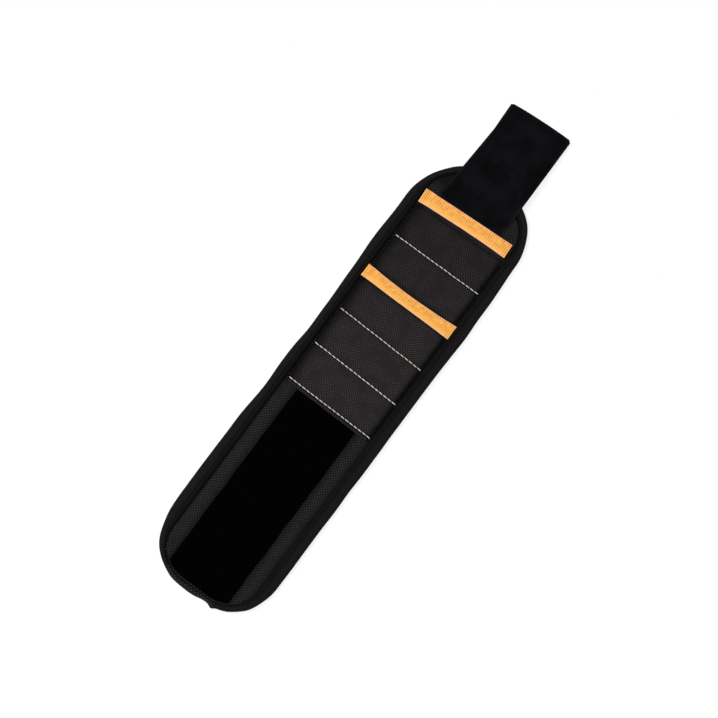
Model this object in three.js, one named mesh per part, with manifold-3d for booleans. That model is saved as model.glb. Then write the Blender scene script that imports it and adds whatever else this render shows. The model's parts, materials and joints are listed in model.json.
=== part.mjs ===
// Magnetic wristband laid out flat with its face up: a bound fabric band with a loop tape at one end,
// five sewn magnet pockets under two elastic tapes, and a hook strap at the other end.
// Millimetres. +X runs from the loop end (the toe) to the strap, +Z is up, off the face of the band.
// The band is built from stretches that meet at its fold lines, where it bends round a wrist.
import * as THREE from "three";
import { mergeVertices } from "three/addons/utils/BufferGeometryUtils.js";
import Module from "manifold-3d";

// Stretches of the band between fold lines, from the toe to the crown that carries the strap
const TOE_STRAIGHT = 14;
const LOOP_MID_LENGTH = 50;
const LOOP_INNER_LENGTH = 50.5;
const ROW_5_LENGTH = 31.8;
const ROW_4_LENGTH = 28.4;
const ROW_3_LENGTH = 36.4;
const ROW_2_LENGTH = 25.9;
const ROW_1_LENGTH = 25.7;
const CROWN_STRAIGHT = 5.3;
const FOLD_SLIT = 0.3;

// Outline of the band
const BAND_WIDTH = 90;
const END_CORNER_RADIUS = 37;

// Fabric layers, and the gap left beside a sewn edge
const LINING_THICKNESS = 3;
const CLOTH_THICKNESS = 0.8;
const SEWN_GAP = 0.3;

// Edge binding, a tape folded over the rim: how far it covers the face at the sides and at the ends
const BINDING_THICKNESS = 0.7;
const BINDING_SIDE_COVER = 9.7;
const BINDING_END_COVER = 5.4;
const BINDING_CORNER_DRAW = 13;

// Loop tape on the lower half of the face
const LOOP_TAPE_WIDTH = 48.7;
const LOOP_TAPE_THICKNESS = 1.7;

// Magnet pockets: a panel of cloth between the bindings, sewn across in rows and puffed up over the magnets
const PANEL_SIDE_GAP = 1.15;
const PANEL_THICKNESS = 0.8;
const PANEL_HEM = 3.5;
const PANEL_DRAW_IN = 1;
const POCKET_SHOULDER = 6;
const POCKET_CROWN = 0.5;
const POCKET_ROOM = 0.8;

// Flat bar magnets, two side by side in each pocket
const MAGNET_LENGTH = 20;
const MAGNET_WIDTH = 12;
const MAGNET_THICKNESS = 1.5;

// Elastic tapes across the panel, and how far each laps past the panel's sides
const TAPE_THICKNESS = 0.9;
const LOWER_TAPE_WIDTH = 9.6;
const LOWER_TAPE_OVERLAP = 1.85;
const UPPER_TAPE_WIDTH = 10.5;
const UPPER_TAPE_OVERLAP = 0.85;
const UPPER_TAPE_TILT_DEG = 3.3;
const TAPE_MARGIN = 0.5;

// Hook strap: a root sewn to the crown and a tail that folds at the edge of the band
const STRAP_WIDTH = 46.7;
const STRAP_THICKNESS = 1.2;
const STRAP_CLIMB = 5;
const STRAP_OVERHANG = 2;
const STRAP_TAIL_LENGTH = 47.6;
const STRAP_TIP_SLANT_DEG = 5;
const STRAP_TIP_RADIUS = 2;
const HOOK_TAPE_THICKNESS = 1.5;
const HOOK_TAPE_START = 8;
const HOOK_TAPE_MARGIN = 1.6;
const HOOK_TAPE_GAP = 0.1;
const TIP_FLOAT = 0.3;

// Reach of a cut past the faces that it opens
const CUT_MARGIN = 1;

// Facets of round stretches and of the puffed pockets
const ARC_STEPS = 8;
const NOSE_SIDES = 12;
const POCKET_STEPS_ALONG = 8;
const POCKET_STEPS_ACROSS = 18;

// Levels above the table
const liningBottom = BINDING_THICKNESS;
const clothBottom = liningBottom + LINING_THICKNESS;
const faceLevel = clothBottom + CLOTH_THICKNESS;
const bindingTop = faceLevel + BINDING_THICKNESS;
const panelRim = faceLevel + PANEL_THICKNESS;
const strapRootTop = faceLevel + STRAP_THICKNESS;
const strapLevel = bindingTop + STRAP_THICKNESS / 2;

// Outlines: the rim, the window that the binding leaves open, and the layers inside the binding
const endRadius = Math.min(END_CORNER_RADIUS, BAND_WIDTH / 2);
const layerInset = BINDING_THICKNESS + SEWN_GAP;
const rim = { halfWidth: BAND_WIDTH / 2, end: 0, radius: endRadius };
const bindingHollow = {
  halfWidth: rim.halfWidth - BINDING_THICKNESS,
  end: BINDING_THICKNESS,
  radius: endRadius - BINDING_THICKNESS,
};
const layers = { halfWidth: rim.halfWidth - layerInset, end: layerInset, radius: endRadius - layerInset };
const bindingWindow = {
  halfWidth: rim.halfWidth - BINDING_SIDE_COVER,
  end: BINDING_END_COVER,
  radius: endRadius - BINDING_CORNER_DRAW,
};

// Panel and tapes, as wide as the binding's window lets them be
const panelWidth = 2 * (bindingWindow.halfWidth - PANEL_SIDE_GAP);
const lowerTapeLength = panelWidth + 2 * LOWER_TAPE_OVERLAP;
const upperTapeLength = panelWidth + 2 * UPPER_TAPE_OVERLAP;

// Fold lines, as distances from the toe's tip
const lengths = {
  toe: endRadius + TOE_STRAIGHT,
  loop_mid: LOOP_MID_LENGTH,
  loop_inner: LOOP_INNER_LENGTH,
  row_5: ROW_5_LENGTH,
  row_4: ROW_4_LENGTH,
  row_3: ROW_3_LENGTH,
  row_2: ROW_2_LENGTH,
  row_1: ROW_1_LENGTH,
  crown: endRadius + CROWN_STRAIGHT,
};
const stretches = {};
let bandLength = 0;
for (const [name, length] of Object.entries(lengths)) {
  stretches[name] = { from: bandLength + FOLD_SLIT / 2, to: bandLength + length - FOLD_SLIT / 2 };
  bandLength += length;
}
const middleNames = Object.keys(lengths).slice(1, -1);
const rowNames = middleNames.filter((name) => name.startsWith("row"));
const loopNames = ["toe", "loop_mid", "loop_inner"];

// The strap's fold line, its tail's droop to the table, and the middle of the whole length
const strapHinge = bandLength + STRAP_OVERHANG;
const tipSlant = Math.tan(THREE.MathUtils.degToRad(STRAP_TIP_SLANT_DEG));
const tailReach = STRAP_TAIL_LENGTH + (tipSlant * STRAP_WIDTH) / 2;
const hookDepth = STRAP_THICKNESS / 2 + HOOK_TAPE_GAP + HOOK_TAPE_THICKNESS;
const droop = Math.asin((strapLevel - hookDepth - TIP_FLOAT) / tailReach);
const wholeLength = strapHinge + tailReach * Math.cos(droop);

const wasm = await Module();
wasm.setup();

const wristband = new THREE.Group();
wristband.position.x = -wholeLength / 2;

function fabric(color, roughness = 0.95) {
  return new THREE.MeshStandardMaterial({ color, roughness, metalness: 0 });
}

const finishes = {
  cloth: fabric(0x262628),
  lining: fabric(0x1c1c1e),
  binding: fabric(0x181818),
  loop: fabric(0x050505, 1),
  panel: fabric(0x2c2a2c),
  tape: fabric(0xfeb254, 0.8),
  strap: fabric(0x0f0f11),
  hook: fabric(0x121212, 0.7),
  magnet: new THREE.MeshStandardMaterial({ color: 0xb8babd, roughness: 0.3, metalness: 1 }),
};

function add(name, geometry, finish, parent = wristband) {
  const mesh = new THREE.Mesh(geometry, finishes[finish]);
  mesh.name = name;
  parent.add(mesh);
  return mesh;
}

// Booleans on closed geometry
function solid(geometry) {
  const bare = geometry.clone();
  bare.deleteAttribute("normal");
  bare.deleteAttribute("uv");
  const merged = mergeVertices(bare, 1e-5);
  const vertProperties = new Float32Array(merged.attributes.position.array);
  const triVerts = new Uint32Array(merged.index.array);
  return new wasm.Manifold(new wasm.Mesh({ numProp: 3, vertProperties, triVerts }));
}

function fromSolid(manifold) {
  const mesh = manifold.getMesh();
  const geometry = new THREE.BufferGeometry();
  geometry.setAttribute("position", new THREE.BufferAttribute(mesh.vertProperties, 3));
  geometry.setIndex(new THREE.BufferAttribute(mesh.triVerts, 1));
  geometry.computeVertexNormals();
  return geometry;
}

// A flat outline given a thickness between two levels
function plate(shape, bottom, top) {
  const geometry = new THREE.ExtrudeGeometry(shape, {
    depth: top - bottom,
    bevelEnabled: false,
    curveSegments: ARC_STEPS,
  });
  return geometry.translate(0, 0, bottom);
}

function block(from, to, halfWidth, bottom, top) {
  const shape = new THREE.Shape();
  shape.moveTo(from, -halfWidth);
  shape.lineTo(to, -halfWidth);
  shape.lineTo(to, halfWidth);
  shape.lineTo(from, halfWidth);
  shape.closePath();
  return plate(shape, bottom, top);
}

// Traces one rounded end of the band across to the other side, from right to left
function traceToe(shape, { halfWidth, end, radius }, sideAngle = Math.PI / 2) {
  const x = end + radius;
  const y = halfWidth - radius;
  shape.absarc(x, -y, radius, Math.PI + sideAngle, Math.PI, true);
  shape.absarc(x, y, radius, Math.PI, Math.PI - sideAngle, true);
}

// A rounded end from its tip to a fold line, as drawn at the toe
function endOutline(outline, fold) {
  const shape = new THREE.Shape();
  shape.moveTo(fold, outline.halfWidth);
  shape.lineTo(fold, -outline.halfWidth);
  traceToe(shape, outline);
  shape.closePath();
  return shape;
}

// The crown is the toe's outline turned round to the other end
function turnedToCrown(geometry) {
  return geometry.rotateZ(Math.PI).translate(bandLength, 0, 0);
}

function placedEnd(name, geometry) {
  return name === "crown" ? turnedToCrown(geometry) : geometry;
}

function endFold(name) {
  return name === "crown" ? bandLength - stretches.crown.from : stretches.toe.to;
}

// Cloth and padded lining
function addLayer(kind, bottom, top) {
  for (const name of ["toe", "crown"]) {
    const geometry = plate(endOutline(layers, endFold(name)), bottom, top);
    add(`${kind}_${name}`, placedEnd(name, geometry), kind);
  }
  for (const name of middleNames) {
    const { from, to } = stretches[name];
    add(`${kind}_${name}`, block(from, to, layers.halfWidth, bottom, top), kind);
  }
}

// Edge binding: a channel folded over the rim, as side strips and as the two rounded ends
function bindingStrip(from, to, side) {
  const outer = rim.halfWidth;
  const wall = bindingHollow.halfWidth;
  const edge = bindingWindow.halfWidth;
  const section = new THREE.Shape();
  section.moveTo(outer, 0);
  section.lineTo(outer, bindingTop);
  section.lineTo(edge, bindingTop);
  section.lineTo(edge, faceLevel);
  section.lineTo(wall, faceLevel);
  section.lineTo(wall, liningBottom);
  section.lineTo(edge, liningBottom);
  section.lineTo(edge, 0);
  section.closePath();
  const geometry = new THREE.ExtrudeGeometry(section, { depth: to - from, bevelEnabled: false });
  const along = new THREE.Matrix4().makeBasis(
    new THREE.Vector3(0, 1, 0),
    new THREE.Vector3(0, 0, 1),
    new THREE.Vector3(1, 0, 0),
  );
  geometry.applyMatrix4(along);
  if (side > 0) {
    return geometry.translate(from, 0, 0);
  }
  return geometry.rotateZ(Math.PI).translate(to, 0, 0);
}

function bindingEnd(fold) {
  const band = solid(plate(endOutline(rim, fold), 0, bindingTop));
  const past = fold + FOLD_SLIT;
  const opening = solid(plate(endOutline(bindingWindow, past), -CUT_MARGIN, bindingTop + CUT_MARGIN));
  const hollow = solid(plate(endOutline(bindingHollow, past), liningBottom, faceLevel));
  return fromSolid(band.subtract(opening).subtract(hollow));
}

function addBinding() {
  for (const name of ["toe", "crown"]) {
    add(`binding_${name}`, placedEnd(name, bindingEnd(endFold(name))), "binding");
  }
  for (const name of middleNames) {
    const { from, to } = stretches[name];
    add(`binding_left_${name}`, bindingStrip(from, to, 1), "binding");
    add(`binding_right_${name}`, bindingStrip(from, to, -1), "binding");
  }
}

// Loop tape, whose end follows the binding's inner edge at the toe
function loopTapeToe(to) {
  const half = LOOP_TAPE_WIDTH / 2;
  const radius = bindingWindow.radius - SEWN_GAP;
  const cornerHeight = bindingWindow.halfWidth - bindingWindow.radius;
  const sideAngle = Math.asin(THREE.MathUtils.clamp((half - cornerHeight) / radius, 0, 1));
  const end = { halfWidth: cornerHeight + radius, end: bindingWindow.end + SEWN_GAP, radius };
  const shape = new THREE.Shape();
  shape.moveTo(to, half);
  shape.lineTo(to, -half);
  traceToe(shape, end, sideAngle);
  shape.closePath();
  return plate(shape, faceLevel, faceLevel + LOOP_TAPE_THICKNESS);
}

function addLoopTape() {
  for (const name of loopNames) {
    const { from, to } = stretches[name];
    const half = LOOP_TAPE_WIDTH / 2;
    const top = faceLevel + LOOP_TAPE_THICKNESS;
    const geometry = name === "toe" ? loopTapeToe(to) : block(from, to, half, faceLevel, top);
    add(`loop_tape_${name}`, geometry, "loop");
  }
}

// A row of the panel: cloth that lies flat on its lands and puffs up between them, with its sides drawn in
function pocketCloth(from, to, puff) {
  const rise = MAGNET_THICKNESS + POCKET_ROOM;
  const ease = (distance) => {
    const share = THREE.MathUtils.clamp(distance / POCKET_SHOULDER, 0, 1);
    return Math.sin((Math.PI / 2) * share);
  };
  const stations = [from];
  for (let i = 0; i <= POCKET_STEPS_ALONG; i++) {
    stations.push(THREE.MathUtils.lerp(puff.from, puff.to, i / POCKET_STEPS_ALONG));
  }
  stations.push(to);
  const rows = stations.filter((x, i) => i === 0 || x - stations[i - 1] > 1e-6);
  const across = POCKET_STEPS_ACROSS + 1;
  const points = [];
  const heights = [];
  for (const x of rows) {
    const inside = Math.max(0, Math.min(x - puff.from, puff.to - x));
    const along = ease(inside);
    const half = panelWidth / 2 - PANEL_DRAW_IN * (1 - along);
    for (let j = 0; j < across; j++) {
      const y = THREE.MathUtils.lerp(-half, half, j / POCKET_STEPS_ACROSS);
      const lift = along * ease(half - Math.abs(y));
      const dome = (1 - (y / half) ** 2) * Math.sin((Math.PI * inside) / (puff.to - puff.from));
      points.push([x, y]);
      heights.push(lift * (rise + POCKET_CROWN * dome));
    }
  }
  const count = points.length;
  const positions = [];
  for (const base of [faceLevel, panelRim]) {
    points.forEach(([x, y], i) => positions.push(x, y, base + heights[i]));
  }
  const triangles = [];
  const quad = (a, b, c, d) => triangles.push(a, b, c, a, c, d);
  for (let i = 0; i + 1 < rows.length; i++) {
    const low = i * across;
    const high = low + across;
    for (let j = 0; j < POCKET_STEPS_ACROSS; j++) {
      quad(low + j, low + j + 1, high + j + 1, high + j);
      quad(count + low + j, count + high + j, count + high + j + 1, count + low + j + 1);
    }
    const right = POCKET_STEPS_ACROSS;
    quad(low, high, count + high, count + low);
    quad(low + right, count + low + right, count + high + right, high + right);
  }
  const last = (rows.length - 1) * across;
  for (let j = 0; j < POCKET_STEPS_ACROSS; j++) {
    quad(j, count + j, count + j + 1, j + 1);
    quad(last + j, last + j + 1, count + last + j + 1, count + last + j);
  }
  const geometry = new THREE.BufferGeometry();
  geometry.setAttribute("position", new THREE.Float32BufferAttribute(positions, 3));
  geometry.setIndex(triangles);
  geometry.computeVertexNormals();
  return geometry;
}

// The flat lands of the panel: a hem below the last row, and a landing for the lower tape
const tapeLand = LOWER_TAPE_WIDTH + 2 * TAPE_MARGIN;

function puffOf(name) {
  const { from, to } = stretches[name];
  return {
    from: name === "row_5" ? from + PANEL_HEM : from,
    to: name === "row_3" ? to - tapeLand : to,
  };
}

function addPockets() {
  for (const name of rowNames) {
    const number = name.slice(-1);
    const { from, to } = stretches[name];
    const puff = puffOf(name);
    add(`magnet_pocket_${number}`, pocketCloth(from, to, puff), "panel");
    for (const [side, sign] of [["left", 1], ["right", -1]]) {
      const magnet = new THREE.BoxGeometry(MAGNET_WIDTH, MAGNET_LENGTH, MAGNET_THICKNESS);
      const middle = (puff.from + puff.to) / 2;
      magnet.translate(middle, (sign * panelWidth) / 4, faceLevel + MAGNET_THICKNESS / 2);
      add(`magnet_${number}_${side}`, magnet, "magnet");
    }
  }
}

// Elastic tapes: the lower one on its landing, the upper one over the strap's sewn end
const strapRootStart = stretches.crown.from + UPPER_TAPE_WIDTH;

function addTapes() {
  const landMiddle = stretches.row_3.to - tapeLand / 2;
  const lower = new THREE.BoxGeometry(LOWER_TAPE_WIDTH, lowerTapeLength, TAPE_THICKNESS);
  add("elastic_tape_lower", lower, "tape").position.set(landMiddle, 0, panelRim + TAPE_THICKNESS / 2);

  const tilt = THREE.MathUtils.degToRad(UPPER_TAPE_TILT_DEG);
  const swing = (upperTapeLength / 2) * Math.sin(tilt) + (UPPER_TAPE_WIDTH / 2) * Math.cos(tilt);
  const upper = new THREE.BoxGeometry(UPPER_TAPE_WIDTH, upperTapeLength, TAPE_THICKNESS);
  const mesh = add("elastic_tape_upper", upper, "tape");
  const upperLevel = Math.max(strapRootTop, bindingTop);
  mesh.position.set(stretches.crown.from + SEWN_GAP + swing, 0, upperLevel + TAPE_THICKNESS / 2);
  mesh.rotation.z = tilt;

  const top = block(stretches.crown.from, strapRootStart - SEWN_GAP, panelWidth / 2, faceLevel, panelRim);
  add("panel_top_edge", top, "panel");
}

// Strap root: sewn flat to the cloth, then up over the crown's binding to the fold line
function strapRoot() {
  const half = STRAP_WIDTH / 2;
  const cornerHeight = bindingWindow.halfWidth - bindingWindow.radius;
  const bow = Math.sqrt(Math.max(0, bindingWindow.radius ** 2 - Math.max(0, half - cornerHeight) ** 2));
  const bindingEdge = bandLength - bindingWindow.end - bindingWindow.radius + bow;
  const climbEnd = bindingEdge - SEWN_GAP;
  const climbStart = climbEnd - STRAP_CLIMB;
  const end = strapHinge - STRAP_THICKNESS / 2 - SEWN_GAP;
  const side = new THREE.Shape();
  side.moveTo(strapRootStart, faceLevel);
  side.lineTo(climbStart, faceLevel);
  side.lineTo(climbEnd, bindingTop);
  side.lineTo(end, bindingTop);
  side.lineTo(end, bindingTop + STRAP_THICKNESS);
  side.lineTo(climbEnd, bindingTop + STRAP_THICKNESS);
  side.lineTo(climbStart, strapRootTop);
  side.lineTo(strapRootStart, strapRootTop);
  side.closePath();
  const geometry = new THREE.ExtrudeGeometry(side, { depth: STRAP_WIDTH, bevelEnabled: false });
  return geometry.rotateX(Math.PI / 2).translate(0, half, 0);
}

// A strip of the strap's tail, with its slanted tip and rounded corners, between two levels
function tailStrip(start, tip, radius, bottom, top) {
  const half = STRAP_WIDTH / 2;
  const slant = (y) => tip - y * tipSlant;
  const shape = new THREE.Shape();
  shape.moveTo(start, -half);
  shape.lineTo(slant(-half) - radius, -half);
  shape.quadraticCurveTo(slant(-half), -half, slant(radius - half), radius - half);
  shape.lineTo(slant(half - radius), half - radius);
  shape.quadraticCurveTo(slant(half), half, slant(half) - radius, half);
  shape.lineTo(start, half);
  shape.closePath();
  return plate(shape, bottom, top);
}

function addStrap() {
  add("strap_root", strapRoot(), "strap");
  const tail = new THREE.Group();
  tail.position.set(strapHinge, 0, strapLevel);
  tail.rotation.y = droop;
  wristband.add(tail);

  const half = STRAP_THICKNESS / 2;
  const nose = new THREE.CylinderGeometry(half, half, STRAP_WIDTH, NOSE_SIDES);
  const strip = tailStrip(0, STRAP_TAIL_LENGTH, STRAP_TIP_RADIUS, -half, half);
  add("strap_tail", fromSolid(solid(strip).add(solid(nose))), "strap", tail);

  const hookTip = STRAP_TAIL_LENGTH - HOOK_TAPE_MARGIN;
  const hookTop = -half - HOOK_TAPE_GAP;
  const hook = tailStrip(HOOK_TAPE_START, hookTip, STRAP_TIP_RADIUS, hookTop - HOOK_TAPE_THICKNESS, hookTop);
  add("hook_tape", hook, "hook", tail);
}

addLayer("lining", liningBottom, clothBottom);
addLayer("cloth", clothBottom, faceLevel);
addBinding();
addLoopTape();
addPockets();
addTapes();
addStrap();

export default wristband;
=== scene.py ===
"""Magnetic wristband laid flat: the cloth, tapes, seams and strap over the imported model, in metres."""

import json
import math

import bmesh
import bpy
import numpy as np
from bpy.props import FloatProperty, FloatVectorProperty, PointerProperty
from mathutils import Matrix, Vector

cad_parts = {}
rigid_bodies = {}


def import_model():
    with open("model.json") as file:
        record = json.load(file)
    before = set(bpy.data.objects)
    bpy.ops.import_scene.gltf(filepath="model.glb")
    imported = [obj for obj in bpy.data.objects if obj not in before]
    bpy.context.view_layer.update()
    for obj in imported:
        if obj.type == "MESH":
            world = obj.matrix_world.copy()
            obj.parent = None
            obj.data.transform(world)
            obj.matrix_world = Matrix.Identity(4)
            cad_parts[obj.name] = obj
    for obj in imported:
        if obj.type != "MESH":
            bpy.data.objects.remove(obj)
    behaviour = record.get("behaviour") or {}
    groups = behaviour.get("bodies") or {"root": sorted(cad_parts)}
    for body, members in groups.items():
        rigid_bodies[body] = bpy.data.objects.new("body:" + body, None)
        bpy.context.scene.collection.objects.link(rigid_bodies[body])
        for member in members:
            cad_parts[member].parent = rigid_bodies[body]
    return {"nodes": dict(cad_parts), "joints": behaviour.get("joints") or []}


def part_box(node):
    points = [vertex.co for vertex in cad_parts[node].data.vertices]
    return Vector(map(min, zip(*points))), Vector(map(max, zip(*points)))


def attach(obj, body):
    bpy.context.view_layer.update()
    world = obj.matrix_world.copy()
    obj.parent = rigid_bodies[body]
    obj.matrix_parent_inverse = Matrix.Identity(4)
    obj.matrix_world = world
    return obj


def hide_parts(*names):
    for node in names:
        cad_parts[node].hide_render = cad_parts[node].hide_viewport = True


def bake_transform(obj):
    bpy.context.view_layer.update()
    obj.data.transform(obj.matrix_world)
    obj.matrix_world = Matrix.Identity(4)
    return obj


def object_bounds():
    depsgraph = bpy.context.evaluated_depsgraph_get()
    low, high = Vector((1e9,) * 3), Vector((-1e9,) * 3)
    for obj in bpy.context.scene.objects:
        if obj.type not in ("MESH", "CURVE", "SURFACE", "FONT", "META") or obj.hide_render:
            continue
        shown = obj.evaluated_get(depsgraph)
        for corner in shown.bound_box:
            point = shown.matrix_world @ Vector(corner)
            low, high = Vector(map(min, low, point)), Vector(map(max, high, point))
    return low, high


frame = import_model()
CAD_BOX = [list(corner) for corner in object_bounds()]

bl_info = {
    "name": "Magnetic Wristband",
    "version": (1, 0, 0),
    "blender": (4, 5, 0),
    "location": "View3D > Sidebar > Wristband",
    "description": "Builds the fabric, tapes, seams and hook strap of a magnetic wristband",
    "category": "Object",
}

MM = 0.001
LAY = "lay"  # the map that keeps each point's place on its flat cut, in metres
PAINTED_SHADING = "painted_shading"  # painted shading of each point against its finish: below 1 for painted shade in creases and beside raised parts, above 1 for painted highlights along edges and folds


def low(node):
    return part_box(node)[0]


def high(node):
    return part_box(node)[1]


def fold_between(first, second):
    """Where the joint between two bodies turns."""
    for joint in frame["joints"]:
        if {joint["parent"], joint["child"]} == {first, second}:
            return joint["pos_m"]
    raise ValueError(f"no joint folds {first} on {second}")


# Stretches of the band from toe to crown, the folds between them, and the cuts halfway from fold to fold
STRETCHES = ("toe", "loop_mid", "loop_inner", "row_5", "row_4", "row_3", "row_2", "row_1", "crown")
FOLDS = [fold_between(a, b)[0] for a, b in zip(STRETCHES, STRETCHES[1:])]
HEM_FOLD = STRETCHES.index("loop_inner")
ROW_5_FOLD, ROW_4_FOLD, ROW_3_FOLD, ROW_2_FOLD, ROW_1_FOLD = range(HEM_FOLD + 1, len(FOLDS))
TOE_TIP = low("binding_toe").x
CROWN_TIP = high("binding_crown").x
CUTS = [TOE_TIP, *[(a + b) / 2 for a, b in zip(FOLDS, FOLDS[1:])], CROWN_TIP]
STRAP_HINGE = fold_between("crown", "strap")

# Levels above the table
TABLE = low("binding_toe").z
LINING_BOTTOM = low("lining_toe").z
CLOTH_BOTTOM = low("cloth_toe").z
FACE = high("cloth_toe").z
BINDING_TOP = high("binding_toe").z
LOOP_TOP = high("loop_tape_toe").z
PANEL_RIM = high("panel_top_edge").z

# Half widths and ends of the flat pieces
HALF_WIDTH = high("binding_toe").y
WINDOW_HALF = low("binding_left_row_3").y
LOOP_HALF = high("loop_tape_loop_mid").y
LOOP_END = low("loop_tape_toe").x
PANEL_HALF = high("magnet_pocket_4").y
PANEL_START = low("magnet_pocket_5").x
PANEL_END = high("panel_top_edge").x
LOOP_GAP = 0.3 * MM  # between the loop tape's end and the binding round it


def srgb(*display):
    """A display colour, 0 to 255, as the linear values that shaders take."""
    shares = [value / 255 for value in display]
    return [s / 12.92 if s <= 0.04045 else ((s + 0.055) / 1.055) ** 2.4 for s in shares]


def length(name, description, default):
    return FloatProperty(name=name, description=description, default=default, unit="LENGTH", precision=5)


def colour(name, description, *display):
    return FloatVectorProperty(
        name=name, description=description, default=srgb(*display), subtype="COLOR", min=0, max=1
    )


class WristbandSizes(bpy.types.PropertyGroup):
    """Sizes of the wristband's fabrics and seams"""

    end_radius: length("End radius", "Corner radius of the band's two ends", 37 * MM)
    window_radius: length("Window radius", "Corner radius of the binding's inner edge", 24 * MM)
    toe_cover: length("Toe cover", "How far the binding covers the toe", LOOP_END - TOE_TIP - LOOP_GAP)
    crown_cover: length("Crown cover", "How far the binding covers the crown", 8 * MM)
    cloth_pitch: length("Cloth pitch", "Distance between yarns of the outer cloth", 1.16 * MM)
    panel_pitch: length("Panel pitch", "Distance between yarns of the panel's cloth", 1.06 * MM)
    binding_rib: length("Binding rib", "Distance between ribs of the edge binding", 1.4 * MM)
    tape_rib: length("Tape rib", "Distance between ribs of the elastic tapes", 1.5 * MM)
    strap_rib: length("Strap rib", "Distance between cross ribs of the strap", 1.6 * MM)
    mesh_pitch: length("Mesh pitch", "Distance between holes of the spacer mesh lining", 1.8 * MM)
    pile_pitch: length("Pile pitch", "Distance between loops of the loop tape", 1.35 * MM)
    hook_pitch: length("Hook pitch", "Distance between hooks of the hook tape", 1.8 * MM)
    seam_stitch: length("Seam stitch", "Length of one stitch of the tan seams with its gap", 3.65 * MM)
    seam_thread: length("Seam thread", "Thickness of the tan thread", 0.7 * MM)
    binding_stitch: length("Binding stitch", "Length of one binding stitch with its gap", 3.2 * MM)
    hem: length("Hem", "Depth of the hem below the last row of pockets", 3.1 * MM)
    pocket_shoulder: length("Pocket shoulder", "Width of the slope round each pocket", 6 * MM)
    upper_tape_width: length("Upper tape width", "Width of the upper elastic tape", 10 * MM)
    fold_bend: length("Fold bend", "Length of band that bends at each fold", 18 * MM)
    strap_bend: length("Strap bend", "Length of strap that bends at its fold line", 10 * MM)
    upper_tape_tilt: FloatProperty(
        name="Upper tape tilt",
        description="How far the upper elastic tape slants",
        default=math.radians(3.3),
        subtype="ANGLE",
    )


class WristbandColours(bpy.types.PropertyGroup):
    """Colours of the wristband's fabrics and threads"""

    cloth: colour("Cloth", "Outer cloth of the band", 21, 20, 21)
    panel: colour("Panel", "Cloth of the magnet pockets", 38.5, 35.5, 37)
    lining: colour("Lining", "Spacer mesh on the back", 30, 30, 32)
    binding: colour("Binding", "Edge binding", 22, 20, 21)
    loop: colour("Loop tape", "Pile of the loop tape", 3, 3, 3)
    tape: colour("Elastic tape", "Elastic tapes across the panel", 255, 188, 91)
    tape_edge: colour("Elastic tape edge", "Paler edges of the elastic tapes", 255, 193, 140)
    tape_shade: colour("Elastic tape shade", "Valleys between the ribs of the elastic tapes", 196, 98, 20)
    seam: colour("Seam thread", "Thread of the seams across the panel", 236, 230, 216)
    black_thread: colour("Black thread", "Thread of the binding and the panel's sides", 6, 6, 6)
    tack_thread: colour("Tack thread", "Thread at the ends of the elastic tapes", 226, 146, 58)
    strap: colour("Strap", "Woven strap", 9, 8.6, 10.6)
    hook: colour("Hooks", "Moulded hooks under the strap", 20, 20, 21)
    nickel: colour("Nickel", "Plating of the magnets", 200, 202, 205)


def sizes():
    return bpy.context.scene.wristband_sizes


def colours():
    return bpy.context.scene.wristband_colours


def put(name, data):
    """A new object in the scene."""
    thing = bpy.data.objects.new(name, data)
    bpy.context.scene.collection.objects.link(thing)
    return thing


# Shapes: slabs of cloth and tubes of thread, gathered into one mesh
SHARP_ANGLE = math.radians(55)


def quads(a, b, c, d):
    return np.stack([a, b, c, d], axis=-1).reshape(-1, 4)


def join(*axes):
    """Points or flat places from their separate coordinates."""
    return np.stack(np.broadcast_arrays(*axes), axis=-1)


def unit(vectors):
    return vectors / np.linalg.norm(vectors, axis=-1, keepdims=True)


def run_along(points, axis):
    """The length covered from the first point on, along one axis of a grid."""
    steps = np.diff(points, axis=axis, prepend=np.take(points, [0], axis=axis))
    return np.linalg.norm(steps, axis=-1).cumsum(axis=axis)


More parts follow.
